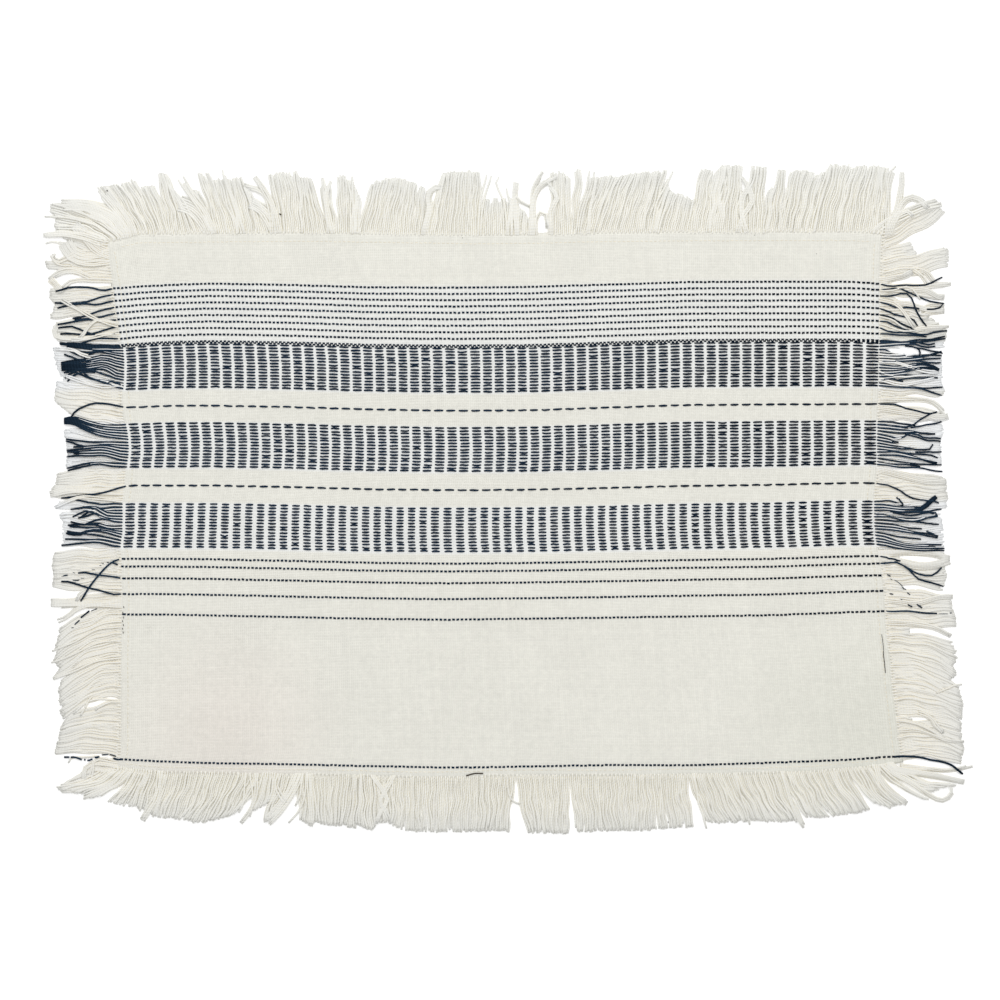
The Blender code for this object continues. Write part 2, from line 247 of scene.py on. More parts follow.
RIGHT_TUFTS = [
    (144, 133, (227, 160), (233, 152), -1.5),
    (134, 125.5, (214, 137), (217.5, 129.5), 0),
    (126.5, 120.5, (233, 134.5), (234.5, 128.5), 0.5),
    (121, 116.5, (234.5, 128.5), (234, 123), 0),
    (114.5, 111.5, (234, 114.5), (234.5, 113), 0),
    (112, 109, (231, 108.5), (231.5, 106), 0),
    (109.5, 104, (211, 104.5), (219, 99.5), 0),
    (104.5, 96.5, (212.5, 97.5), (221.5, 91), 0),
    (97, 90, (222.5, 98.5), (233, 90.5), 0),
    (90, 82, (233.5, 90), (232, 81), 0),
    (76.5, 59, (230.5, 76.5), (231, 60.5), 0.5),
    (59, 56, (232.5, 58), (232, 54.5), 0),
    (56, 51, (206.5, 55), (207, 51.5), 0),
    (51, 41, (230, 46.5), (234.5, 42.5), 0),
    (41, 33, (231, 39.5), (231.5, 34.5), 0),
    (33, 17.5, (230.5, 32.5), (230.5, 17.5), 0),
    (15.5, 7, (232.5, 11.5), (233, 6), 0),
    (7, -0.5, (233, 5.5), (234, 0), 0),
    (-0.5, -7, (232.5, -1), (233.5, -4.5), 0),
    (-7, -27, (230, -7.5), (232, -26.5), 0.5),
    (-28, -35.5, (208, -29), (208, -33.5), 0),
    (-35.5, -42.5, (232.5, -35.5), (233, -41.5), 0),
    (-42.5, -44.5, (232.5, -42.5), (232, -48.5), 0),
    (-44, -48, (210, -45.5), (210, -48.5), 0),
    (-47, -60, (235.5, -51), (236.5, -59.5), 0),
    (-60, -68.5, (238, -62), (238.5, -68.5), 0),
    (-68, -73, (213.5, -68), (214, -72), 0),
    (-71, -76, (236.5, -76), (239, -83.5), 0, 3),
    (-75.5, -81.5, (239, -84), (236.5, -90), 0, 4),
    (-81, -88.5, (239, -91.5), (236, -97), 0, 4.5),
    (-88, -97, (239, -99), (241, -107), 0, 4.5),
    (-96.5, -107, (241.5, -108), (241.5, -112.5), 0, 4.5),
    (-106.5, -115, (241.5, -115), (240.5, -124), 0, 4.5),
    (-119, -127.5, (241, -122), (241.5, -129), 0, 4.5),
    (-126.5, -139, (243, -131.5), (240.5, -141), 0, 4),
]

# What leaves its neighbours. A lock is its number of yarns, its width at the root and at the tip, and its
# route. A single yarn is its route alone.
TOP_LOCKS = [
    (9, 7, 5, [(-204.5, 142), (-208.5, 149), (-214.5, 153), (-222, 155.5), (-229, 156.5), (-238, 156.5)]),
    (6, 5, 5, [(-200, 142), (-203, 148), (-208, 154.5), (-213.5, 161), (-217, 165)]),
    (7, 6, 8, [(-159, 142.5), (-163, 149.5), (-168.5, 155), (-175, 157.5)]),
    (6, 6, 5, [(-124, 142.5), (-127, 149), (-131.5, 154.5), (-137.5, 157.5)]),
    [(-226, 147.5), (-233.5, 149.5), (-240, 150), (-247, 150.5)],
    (4, 4, 1.5, [(-216, 136), (-228, 140), (-238, 141), (-247.5, 140.5)]),
    [(-229, 131.5), (-235.5, 134), (-241, 137), (-246.5, 136)],
    (4, 3, 3, [(-157, 142), (-161.5, 152), (-168, 161), (-174.5, 171)]),
    (3, 2, 0.5, [(-141, 142), (-146.5, 158.5), (-149.5, 167), (-152, 175.5)]),
    (3, 2.5, 2, [(-125.5, 143), (-126.5, 155), (-130.5, 163), (-141, 167)]),
    (3, 2, 2, [(-122.5, 142), (-125.5, 156), (-130.5, 165), (-135, 171.5)]),
    (3, 2, 1.5, [(-93.5, 142), (-96.5, 154), (-97, 162), (-95, 169.5)]),
    (2, 1.5, 1, [(-95, 142), (-97.5, 158), (-98, 166), (-99, 171)]),
    (5, 3, 2, [(-45, 142), (-42, 153), (-42.5, 161), (-39.5, 165.5), (-35, 165.5)]),
    (2, 1, 2.5, [(-15.5, 142), (-14.5, 156.5), (-12.5, 164.5), (-10.5, 172.5)]),
    [(-1, 142), (-2, 156.5), (-5, 163.5), (-6.5, 168.5), (-5, 171.5)],
    [(2, 142), (1.5, 155), (-0.5, 161.5), (-1, 165.5)],
    (4, 2, 2, [(4.5, 142), (4, 155.5), (3.5, 162.5), (4, 168.5)]),
    (2, 1, 0.5, [(-0.5, 145.5), (3, 160.5), (7, 158), (12.5, 155)]),
    (4, 2.5, 1, [(12, 142), (13, 154), (13, 163.5), (15.5, 169.5), (18.5, 174)]),
    (4, 2, 2, [(13, 144.5), (13, 156.5), (15.5, 164.5), (20, 168.5), (25.5, 171)]),
    (3, 2, 1.5, [(22.5, 142), (22.5, 153), (26, 160.5), (23, 165), (19.5, 168.5)]),
    (2, 1, 1, [(14.5, 142), (15.5, 151), (19.5, 152), (20.5, 144)]),
    (3, 2.5, 2.5, [(37, 142), (39, 154), (42.5, 164.5), (44.5, 174.5)]),
    (2, 1, 0.5, [(42.5, 142), (43.5, 155), (45.5, 163.5), (47, 171.5)]),
    [(75.5, 142), (78.5, 156.5), (83, 165.5), (87.5, 174.5)],
    (3, 2, 1.5, [(122, 142), (125, 151), (129.5, 158.5), (127.5, 166.5), (124.5, 171.5)]),
    (3, 2, 1.5, [(126.5, 142), (124, 152.5), (124.5, 160.5), (128, 166), (130, 170.5)]),
    (2, 1, 1, [(204.5, 150), (209.5, 152), (212.5, 153), (215, 150.5)]),
    (4, 4, 1.5, [(202.5, 144), (206, 151), (208, 158.5), (209, 165.5), (209.5, 174)]),
    (3, 2, 2, [(201.5, 142.5), (202, 155.5), (202.5, 166.5), (204.5, 174), (207, 176.5)]),
    (4, 2.5, 2.5, [
        (202.5, 144.5), (207.5, 153), (210.5, 158.5), (215.5, 160.5), (219.5, 158.5), (223.5, 155),
    ]),
]
BOTTOM_LOCKS = [
    (3, 2, 2.5, [(-185.5, -146), (-187, -157), (-191, -164.5), (-195, -171)]),
    (2, 1, 1, [(-134, -146.5), (-134.5, -157.5), (-137.5, -165.5), (-142.5, -172.5)]),
    [(-140, -146.5), (-141, -160.5), (-143.5, -167)],
    [(-137.5, -146.5), (-136, -160.5), (-137.5, -169)],
    (6, 4.5, 4.5, [(-112, -147), (-116, -156), (-122, -164.5), (-128.5, -172)]),
    (2, 1.5, 1.5, [(-122, -147), (-123.5, -153), (-121, -158), (-118.5, -162)]),
    [(-107.5, -147), (-109, -160.5), (-112.5, -167), (-117, -172.5)],
    [(-109.5, -147), (-111, -157.5), (-113.5, -163.5)],
    (3, 2, 2, [(-106, -147), (-105.5, -160.5), (-104.5, -168.5), (-105.5, -174)]),
    (3, 2, 1, [(-72, -147.5), (-67, -155), (-64.5, -160.5), (-68, -166.5), (-70.5, -172.5)]),
    (3, 2, 1, [(-61.5, -147.5), (-66, -156), (-68.5, -161), (-65, -166.5), (-63, -172)]),
    [(-1, -148), (0.5, -157.5), (2.5, -161), (6, -162.5)],
    [(99, -147), (101, -160.5), (103.5, -168.5), (105.5, -175.5)],
    [(120.5, -146.5), (124.5, -160.5), (127, -166.5), (128.5, -173.5)],
    (2, 1, 0.5, [(145.5, -146), (151, -163), (154, -170), (157, -175)]),
    (3, 2, 1.5, [(195.5, -145), (201, -154), (206.5, -158.5), (212, -162)]),
    (3, 1.5, 1.5, [
        (202, -144.5), (216.5, -152.5), (224.5, -158), (230.5, -160.5), (235.5, -157.5), (236, -153),
    ]),
    (5, 2.5, 2, [(203, -143), (216.5, -145.5), (230, -148), (242.5, -150.5)]),
]
LEFT_LOCKS = [
    (9, 8, 7, [(-213.5, 129), (-224, 128), (-231.5, 130), (-236, 136.5)]),
    (6, 5, 5, [(-213.5, 130.5), (-219.5, 133.5), (-225, 140), (-231, 146)]),
    (3, 2, 2, [(-212, 117.5), (-222, 118), (-228, 120.5), (-234.5, 121.5), (-240, 120), (-244.5, 116.5)]),
    (4, 2.5, 2.5, [(-244, 117), (-242, 115), (-239.5, 112.5), (-238.5, 109.5)]),
    (2, 1.5, 1.2, [(-212, 116), (-220, 116.5), (-228, 116.5), (-233.5, 115.5), (-236, 113.5), (-238.5, 111)]),
    (2, 1.5, 1.5, [(-228.5, 131), (-236, 128), (-240, 126.5), (-243.5, 130)]),
    [(-232.5, 124), (-240, 125), (-243, 128.5), (-241, 130.5)],
    (3, 1.5, 1.5, [(-211, 85.5), (-225.5, 85.5), (-236.5, 85.5), (-242, 88), (-240, 92.5)]),
    (4, 2.5, 2.5, [(-206, 3.5), (-222, 4.5), (-234.5, 4.5), (-244, 2.5)]),
    (2, 1.5, 1.5, [(-207, -10.5), (-222, -11), (-232.5, -8.5), (-239, -9.5)]),
    (5, 3, 2.5, [(-207, -54), (-218.5, -55), (-231, -55.5), (-243.5, -55.5)]),
    (3, 1.5, 1.5, [(-207, -57), (-220.5, -56), (-228.5, -58), (-235, -62.5), (-240, -65)]),
    (2, 1.5, 1, [(-207, -48.5), (-222, -48), (-228, -50.5), (-230, -54.5)]),
    [(-208, -68), (-220, -70), (-232, -76.5), (-243, -81)],
    [(-208, -75), (-221, -77.5), (-233, -83.5), (-243.5, -87)],
    (2, 1, 1, [(-208, -84), (-221, -86.5), (-233, -92), (-242.5, -95.5)]),
    [
        (-206.5, -107), (-212, -107), (-217.5, -106.5), (-222, -107), (-225.5, -108.5), (-228, -111),
        (-231.5, -114.5),
    ],
    [(-206.5, -108), (-211, -108), (-214.5, -109), (-217.5, -110.5), (-220, -112.5)],
    [(-222, -105.5), (-224, -108), (-225.5, -111.5), (-228, -115.5)],
    (3, 1.5, 1.5, [(-207.5, -142), (-218.5, -140.5), (-225, -143), (-226, -150.5)]),
    (2, 1, 1, [(-207.5, -140), (-219.5, -138.5), (-221.5, -144.5), (-223, -150.5)]),
    [(-217.5, -137), (-228, -137.5), (-233, -138), (-234.5, -140.5)],
    (5, 5, 4, [(-215.5, -146.5), (-222, -150), (-229, -152.5), (-238, -154)]),
]
RIGHT_LOCKS = [
    (3, 2, 1.5, [(216, 121.5), (221.5, 121), (225, 117.5), (227.5, 114)]),
    (2, 1, 1, [(215.5, 122), (219, 119.5), (222, 116), (223, 113.5)]),
    (3, 2, 2, [(219.5, 100), (225, 103), (232, 103)]),
    (3, 1.5, 2, [(220, 97.5), (226, 99.5), (232, 100)]),
    (3, 1.5, 1.5, [(198.5, 114), (211, 112.5), (224.5, 113.5), (235.5, 114)]),
    (3, 2, 1.5, [(198.5, 111), (211, 111.5), (222, 111), (227.5, 108), (232, 107)]),
    (3, 2, 1.5, [(198.5, 104), (211, 104), (222, 101), (232, 100.5)]),
    (2, 1.5, 1.5, [(198.5, 99.5), (211, 100), (219, 97.5), (223.5, 97)]),
    (3, 2, 1.5, [(198.5, 89), (211, 89), (222, 91), (234.5, 91.5)]),
    (3, 2, 1.5, [(198, 52.5), (208.5, 53), (219, 53), (225.5, 51.5), (230.5, 47.5), (233, 43.5)]),
    (4, 3, 2, [(197.5, 116), (203, 117), (210, 118.5), (215, 121)]),
    (4, 3, 2.5, [(197.5, 48.5), (208.5, 47), (219, 45.5), (227.5, 43), (234, 44)]),
    (4, 2.5, 2.5, [(197, 15.5), (208.5, 13), (222, 9.5), (233, 10)]),
    (6, 3, 3, [(198, -31.5), (208.5, -33.5), (218, -35.5), (227, -35), (235, -33)]),
    (5, 2.5, 2.5, [(198, -29), (211, -28.5), (224.5, -29), (235, -31)]),
    [(201, -39), (211, -40), (222, -41), (233.5, -40)],
    (3, 2, 1.5, [(202, -54), (216.5, -55.5), (230, -52), (236.5, -52)]),
    (3, 2, 1.5, [(204, -65.5), (216.5, -66.5), (227, -68.5), (235.5, -73)]),
    [(227.5, -103.5), (232, -101.5), (236.5, -99.5), (241.5, -98.5)],
    [
        (207, -116), (211.5, -116), (216, -115.5), (221.5, -115.5), (224.5, -117), (226.5, -121),
        (229, -123.5),
    ],
    (2, 1, 1, [(218, -113.5), (222.5, -115), (225.5, -117), (228, -121), (231.5, -124.5)]),
    [(207, -116.5), (210, -116), (212.5, -116.5), (215, -117.5)],
    [
        (207, -117), (210.5, -117.5), (214.5, -118.5), (218.5, -119.5), (222.5, -121), (227, -124),
        (232.5, -127.5),
    ],
    [(207, -118), (211, -118.5), (215.5, -119.5), (219.5, -120.5), (225.5, -123.5), (232.5, -128.5)],
    (2, 1, 0.5, [(207.5, -123.5), (216.5, -123), (225.5, -125.5), (234, -128.5), (242.5, -129)]),
    (3, 1.5, 1, [(207.5, -142), (219, -143), (232.5, -144.5), (247, -142)]),
]

# The loose ends of the navy weft, in the same way.
LEFT_NAVY = [
    [
        (-211, 112), (-215.5, 111), (-219, 111.5), (-223, 112.5), (-229, 113), (-234, 112.5), (-238, 111),
        (-241, 110.5),
    ],
    [(-211, 108.5), (-217.5, 107), (-223, 105.5), (-227, 104.5), (-232.5, 104), (-241.5, 104.5)],
    [(-210.5, 105.5), (-219, 103.5), (-225.5, 104), (-233.5, 103), (-240, 101.5)],
    [(-210.5, 102), (-219, 99.5), (-225, 97.5), (-232, 96)],
    [(-210, 98.5), (-217.5, 96.5), (-222, 96.5), (-226, 95.5), (-231, 95.5)],
    [(-209, 95), (-216, 94.5), (-222.5, 95.5), (-227, 95), (-233.5, 94), (-240, 93)],
    [(-208.5, 92), (-217.5, 89), (-226, 87.5), (-234.5, 88), (-238.5, 88)],
    [(-208, 88.5), (-217.5, 86.5), (-224, 88.5), (-228.5, 90.5), (-232.5, 92), (-239.5, 91)],
    [(-207.5, 85), (-218.5, 85.5), (-226, 83), (-233.5, 82), (-239, 83)],
    (4, 3, 2, [(-206.5, 82), (-213.5, 81.5), (-220, 80.5), (-228, 81.5), (-238.5, 82.5)]),
    [(-206, 79), (-215, 79.5), (-223, 78), (-231.5, 78.5)],
    [(-206, 77), (-215, 78.5), (-221.5, 77.5), (-226, 75.5)],
    [(-223, 75), (-229, 76.5), (-233.5, 79), (-236.5, 79.5)],
    [(-223, 73), (-228, 74), (-232.5, 75.5), (-236.5, 77)],
    (8, 11, 5, [(-206, 71), (-214.5, 73.5), (-223, 72), (-231, 71.5), (-238, 71)]),
    [(-206, 64), (-212, 66), (-217.5, 67), (-223, 69), (-228, 69), (-236.5, 67)],
    [(-206, 62), (-213.5, 63), (-220, 63.5), (-226, 65.5), (-232.5, 68)],
    [(-206, 60), (-211, 62.5), (-216, 60)],
    [(-206, 58.5), (-215, 62), (-223, 64.5), (-226, 67.5), (-227, 71)],
    (2, 1.5, 2, [(-220, 68), (-226, 68.5), (-231.5, 66.5), (-235.5, 63.5)]),
    [(-206, 48.5), (-211, 50), (-220, 51), (-225.5, 49.5), (-230, 47), (-233, 43)],
    (6, 8.5, 3, [(-203.5, 36), (-215, 36.5), (-224, 39), (-231, 41.5), (-236.5, 41.5)]),
    [(-203.5, 40), (-215, 39.5), (-223, 42.5), (-228, 43), (-235, 46)],
    [(-203, 31), (-215, 30.5), (-225.5, 30.5), (-235.5, 32)],
    [(-203, 29), (-215, 29), (-226, 28), (-232.5, 30), (-235.5, 31)],
    (5, 6.5, 4.5, [(-203, 25), (-215, 26), (-225.5, 25.5), (-235, 25)]),
    [(-203.5, 21), (-215, 20), (-224, 21), (-234.5, 21)],
    [(-203.5, 19), (-213.5, 19.5), (-223, 19), (-235, 16.5)],
    [(-203.5, 17), (-211, 17.5), (-217.5, 18.5), (-225.5, 17.5), (-234.5, 15)],
    [(-203.5, 6.5), (-217.5, 3), (-231, 1), (-238, 0.5)],
    [(-206.5, -3), (-211, -2.5), (-217.5, -3), (-221.5, -2), (-230.5, -0.5)],
    [(-206.5, -5), (-213.5, -5), (-220, -5.5), (-224, -7), (-228, -10)],
    [(-206.5, -6.5), (-219, -7.5), (-225.5, -9.5), (-229, -10)],
    [(-206.5, -8.5), (-214, -8.5), (-218.5, -5.5), (-226, -4.5), (-233, -5.5)],
    [(-206.5, -10), (-215, -9.5), (-224, -6.5), (-232, -9.5)],
    [(-206.5, -12), (-212, -11), (-217.5, -10.5), (-225, -13.5)],
    [(-206.5, -13.5), (-214, -14), (-218.5, -13), (-226, -13.5), (-233, -12)],
    [(-206.5, -15.5), (-213.5, -15.5), (-222, -13.5), (-234.5, -14)],
    [(-206.5, -17), (-214, -15.5), (-223, -15.5), (-233.5, -14.5)],
    [(-206.5, -19), (-212, -17), (-221.5, -16.5), (-228, -18), (-235, -17)],
    [(-206.5, -21), (-213.5, -18), (-221.5, -17), (-228, -19), (-235, -18.5)],
    [(-206.5, -22.5), (-215, -20), (-221.5, -19), (-228, -18.5), (-235.5, -18)],
    [(-207, -23.5), (-213.5, -22), (-222, -21.5), (-236, -21.5)],
    [(-207.5, -24.5), (-217.5, -23), (-225.5, -23.5), (-238, -24.5)],
    [(-207.5, -25.5), (-217.5, -24), (-228, -23), (-235, -22)],
    [(-206.5, -31.5), (-211, -33.5), (-215.5, -37.5), (-221.5, -44.5), (-226, -52), (-227.5, -54.5)],
    [(-206.5, -42.5), (-212, -41.5), (-217.5, -40.5), (-222.5, -39.5), (-226.5, -39), (-229, -39.5)],
    [
        (-206.5, -50), (-209.5, -50.5), (-213.5, -49.5), (-217.5, -48.5), (-223, -47.5), (-228, -46),
        (-233.5, -44), (-238, -44),
    ],
]
RIGHT_NAVY = [
    [(198.5, 115), (202.5, 113.5), (209.5, 114), (215, 113.5), (222, 114), (227.5, 116.5), (231, 118)],
    [
        (198.5, 111.5), (207.5, 112), (212.5, 110), (217.5, 108), (225.5, 105), (231.5, 104), (228.5, 101.5),
        (222.5, 101),
    ],
    [
        (198.5, 108.5), (203, 108.5), (207, 109), (210.5, 109.5), (214, 107.5), (216.5, 101), (219, 96.5),
        (222.5, 92),
    ],
    [(198.5, 105), (206.5, 102), (212, 102), (218.5, 101)],
    [(198.5, 101.5), (203, 99.5), (207, 97.5), (211, 97), (215.5, 95.5), (217.5, 92)],
    [(198.5, 98.5), (204, 96.5), (209, 93.5), (214, 91), (216, 89.5)],
    [(198.5, 95), (201, 94.5), (205.5, 92.5), (211, 90), (215, 89.5)],
    [(198.5, 91.5), (203, 89), (209.5, 88.5), (215.5, 88), (221.5, 87.5), (227, 89), (233.5, 89.5)],
    [(198.5, 88), (206, 87.5), (215, 87), (222.5, 86.5)],
    (2, 1.5, 1, [(198.5, 84), (204.5, 83.5), (211, 83), (217.5, 84), (224.5, 84.5), (232.5, 86)]),
    (2, 1, 1.5, [(198.5, 81.5), (208.5, 82.5), (216.5, 83), (222, 81.5), (227, 82)]),
    [(198.5, 80), (201.5, 79.5), (204.5, 77.5), (208.5, 75.5)],
    [(211, 81.5), (217, 80.5), (219, 79), (218.5, 76)],
    [(215, 81), (219.5, 80), (224.5, 79), (231, 77.5)],
    [(199, 77.5), (208.5, 76), (216.5, 76.5), (230.5, 76.5)],
    [(199, 75.5), (206, 74.5), (214, 75), (222, 76), (230.5, 78.5)],
    (2, 1.5, 1.5, [(199, 73.5), (210, 74), (219, 75), (230, 75.5)]),
    (5, 5, 3, [(198.5, 70), (206, 69.5), (211, 70), (218, 71), (224.5, 70.5), (229, 68.5)]),
    [(216.5, 73.5), (224.5, 72.5), (230, 72.5)],
    [(198.5, 66), (203.5, 66), (211, 66), (218, 66), (225.5, 67.5)],
    [(198.5, 64.5), (204, 64.5), (210, 62.5)],
    [(207.5, 63.5), (212.5, 64), (219, 64.5), (228.5, 64.5)],
    [(198.5, 62.5), (206, 60.5), (212, 60), (222, 59), (231, 59.5)],
    [(198.5, 60), (208.5, 59.5), (220.5, 58.5), (226, 56.5), (230.5, 55)],
    [(198.5, 50.5), (206.5, 50.5), (210, 48.5), (216.5, 47), (223.5, 45.5), (228, 46.5)],
    [(206.5, 38), (212.5, 38.5), (216.5, 40), (219.5, 42.5), (224.5, 45.5)],
    [(197.5, 41.5), (204, 41), (210, 40), (216.5, 39)],
    [(197.5, 39.5), (202, 39), (207, 38.5), (212.5, 38)],
    [(197.5, 37), (208.5, 35), (215, 35.5), (222, 35), (227, 34.5)],
    [(214, 38), (220, 39), (225.5, 40), (230.5, 41)],
    [(197.5, 35), (204, 33), (208.5, 32), (212, 34.5), (216.5, 35.5)],
    (2, 1, 1.5, [(211, 35), (217.5, 33.5), (222, 32), (230, 31.5)]),
    [(197.5, 33.5), (203, 31.5), (207.5, 30)],
    [(197.5, 30), (211, 27), (224, 26.5), (226, 29)],
    [(197.5, 28), (206, 27), (215, 26.5)],
    [(197.5, 26), (206, 25), (214, 24), (224.5, 23.5), (228.5, 22)],
    [(216.5, 25), (224.5, 25), (230.5, 25)],
    [(197.5, 24), (209, 23), (216.5, 21.5), (228, 19.5)],
    [(197.5, 21.5), (206, 20), (214.5, 19), (222, 18.5), (230.5, 18)],
    [(197.5, 19.5), (203, 18), (211, 18.5), (219, 17.5)],
    [(197.5, 18), (206, 17), (219, 16.5), (227, 15), (231, 14.5)],
    [(198, 8.5), (202, 7.5), (206, 5.5), (210, 3.5), (213.5, 1), (219, -0.5)],
    [(196, -1.5), (200.5, -1), (204.5, -1.5), (210, -3.5)],
    [(206.5, 1), (208.5, -1), (210, -3.5)],
    (4, 5, 2, [(196, -4.5), (203, -4.5), (210, -5), (215.5, -5), (220, -4.5), (224, -1), (227.5, 1.5)]),
    [(219, -0.5), (225, -1), (229, -2)],
    [(203, -6.5), (211, -7), (222, -6.5), (230.5, -5.5)],
    [(196, -8.5), (204.5, -9.5), (219, -10.5), (229, -9), (224.5, -7.5), (215, -7), (204.5, -7)],
    [(196, -10.5), (206, -11.5), (215, -12), (229, -13.5)],
    [(196, -12.5), (204, -13.5), (211, -15), (220, -16)],
    (2, 1, 1, [(196, -15), (206, -16), (216.5, -18), (228.5, -20)]),
    [(222.5, -17), (225.5, -18.5), (228.5, -20)],
    [(196, -17.5), (203, -19), (211, -20.5), (219.5, -21.5)],
    (4, 3, 3, [(197, -20), (206, -22), (214, -23.5), (230.5, -24)]),
    (2, 1.5, 1, [(197, -23.5), (204.5, -25), (214, -26.5), (232, -27)]),
    [(199.5, -30.5), (201.5, -31.5), (204.5, -32), (208.5, -33)],
    [(200, -34), (206.5, -33.5), (212, -36.5), (218, -40), (225.5, -40.5), (230.5, -36.5)],
    [(204, -32.5), (212, -36.5), (218, -42.5), (224.5, -44.5), (231.5, -46.5)],
    [(201.5, -59.5), (208.5, -59.5), (215, -60), (222, -60.5), (228, -61)],
]
RIGHT_OVER = [
    [(198, 111), (204, 111), (210.5, 113), (215, 111.5), (219, 106)],
    (2, 1, 1, [(198, 106), (204.5, 104.5), (208.5, 101.5), (212.5, 96.5), (216, 91)]),
    [(198, 97), (204, 95.5), (208.5, 92), (212.5, 90.5)],
    [(198, 93), (203, 91.5), (209.5, 89.5), (216.5, 89.5)],
    [(198, 77), (204, 76.5), (211, 77)],
    (2, 1, 1, [(198.5, 73.5), (206, 73), (211, 71), (222, 68), (228.5, 67.5)]),
    [(199, 75.5), (208.5, 75.5), (216.5, 77)],
    [(198, 68), (202, 66), (208.5, 65), (216.5, 65.5), (224.5, 66)],
    (2, 1, 1, [(198, 63.5), (208.5, 61), (219, 62.5), (226.5, 64)]),
]
# Navy ends that only show in places between the ivory yarns: half a yarn's width, and the route.
BROKEN_ENDS = {
    "left": [
        (0.45, [(-210.9, -33.9), (-209.5, -34.3), (-207.9, -35.0)]),
        (0.15, [(-213.8, -33.7), (-212.7, -33.8)]),
        (0.15, [(-216.5, -34.1), (-215.4, -34.6)]),
        (0.14, [(-217.8, -35.5), (-216.7, -35.3)]),
        (0.32, [(-237.0, -41.0), (-235.6, -40.6), (-234.6, -40.5)]),
        (0.12, [(-238.0, -41.3), (-237.0, -41.2)]),
        (0.15, [(-231.9, -39.1), (-230.6, -39.4)]),
        (0.24, [(-231.9, -43.1), (-230.0, -43.4), (-228.4, -43.0)]),
        (0.13, [(-227.6, -42.2), (-226.0, -42.4)]),
        (0.13, [(-221.8, -37.5), (-220.2, -37.6)]),
        (0.45, [(-227.6, -63.1), (-225.5, -61.5), (-223.1, -59.5)]),
        (0.22, [(-222.1, -59.6), (-220.7, -59.0), (-218.9, -58.3)]),
        (0.34, [(-230.9, -66.9), (-229.8, -65.8), (-228.3, -64.5)]),
        (0.2, [(-232.7, -68.7), (-231.4, -68.3)]),
        (0.5, [(-205.8, -138.4), (-207.9, -138.6), (-210.3, -137.9)]),
        (0.28, [(-208.5, -137.1), (-210.3, -136.5), (-212.2, -136.0)]),
        (0.3, [(-213.0, -135.9), (-214.6, -136.1), (-216.5, -136.2)]),
        (0.5, [(-217.8, -137.1), (-219.1, -137.4), (-220.2, -137.6)]),
        (0.5, [(-221.4, -138.3), (-222.9, -139.0), (-224.2, -139.2)]),
        (0.5, [(-225.1, -138.8), (-225.9, -138.8)]),
        (0.52, [(-227.1, -138.8), (-229.2, -137.9), (-231.1, -137.4), (-233.0, -137.4)]),
        (0.52, [(-233.7, -137.4), (-235.1, -137.4), (-236.6, -137.4)]),
    ],
    "right": [
        (0.62, [
            (204.2, -137.3), (208.5, -136.9), (211.7, -136.9), (215.4, -137.1), (219.7, -137.6),
            (224.4, -138.8), (229.8, -139.7), (233.5, -140.7), (236.2, -141.9), (238.8, -144.0),
            (241.8, -146.4),
        ]),
        (0.3, [(201.6, -40.3), (202.3, -40.6), (203.3, -41.1)]),
        (0.13, [(202.3, -42.2), (204.2, -42.9)]),
        (0.15, [(205.3, -43.1), (207.4, -44.3), (209.5, -46.2)]),
        (0.25, [(209.3, -46.6), (210.3, -47.6), (211.6, -48.1)]),
        (0.27, [(212.2, -49.9), (213.7, -50.9)]),
        (0.3, [(202.9, -50.4), (204.7, -50.7)]),
        (0.22, [(207.9, -53.5), (209.5, -53.5)]),
        (0.42, [(212.2, -56.1), (213.4, -56.7), (214.8, -57.4)]),
        (0.2, [(216.5, -55.6), (217.6, -56.2)]),
        (0.44, [(217.4, -56.2), (218.7, -57.0), (220.1, -57.9)]),
        (0.15, [(229.0, -61.1), (231.4, -61.1), (233.8, -61.1)]),
        (0.32, [(234.9, -60.7), (235.8, -60.6)]),
    ],
}
# Ivory locks that cross over the navy ones
LEFT_OVER = [
    (2, 1, 1, [(-209, 92), (-217.5, 95), (-224, 98), (-231, 102), (-238, 106)]),
    (2, 0.5, 1, [(-209, 93.5), (-218.5, 95.5), (-223, 92), (-226, 88), (-228.5, 85.5)]),
    (2, 1, 1, [(-208, 87.5), (-215.5, 87.5), (-223, 85.5), (-232.5, 84.5)]),
    (2, 1, 1, [(-221, 75.5), (-226, 76.5), (-232.5, 79.5), (-241, 80)]),
    (2, 1, 1, [(-206, 60.5), (-217.5, 60), (-227, 62.5), (-235.5, 65.5)]),
    (2, 1, 1, [(-206.5, -1), (-225.5, 1), (-234.5, -1), (-241.5, -4.5)]),
]

# Along the side edges every second weft is navy between these heights, so half the yarns are left to it.
NAVY_HEIGHTS = [(59, 83), (17, 41), (-26, -2)]

# ---------------------------------------------------------------- colours

IVORY = (0.815, 0.806, 0.742)
# painted shade: the cloth's colour in the gaps between its yarns
IVORY_GAP_PAINTED_SHADE = (0.72, 0.70, 0.60)
NAVY_SHADE_LIFT = (1.05, 1.075, 1.15)  # painted brightening: the ivory between the navy stripes is whiter by this share, against the shade that the navy yarns cast there
# painted shade: the colours that the ivory yarns take on their sides and in the grooves of their twist, where
# neighbours and plies meet
YARN_PAINTED_SHADE = (0.800, 0.750, 0.590)
YARN_WARM_PAINTED_SHADE = (0.850, 0.790, 0.600)
YARN_TAN_PAINTED_SHADE = (0.835, 0.755, 0.560)
LOOSE_IVORY = (0.877, 0.873, 0.836)
TIP_IVORY = (0.80, 0.80, 0.765)
SHADE, SIDE_SHADE = 0.96, 0.95  # painted shade: the bottom and side fringes take darker copies of the top fringe's colours, for the light that falls from the top
NAVY = (0.0030, 0.0070, 0.0155)
# painted sheen: the lighter navy that the navy yarns take on their sides and in the grooves of their twist
NAVY_PAINTED_SHEEN = (0.052, 0.100, 0.172)
LOOSE_NAVY = (0.0055, 0.0125, 0.0230)
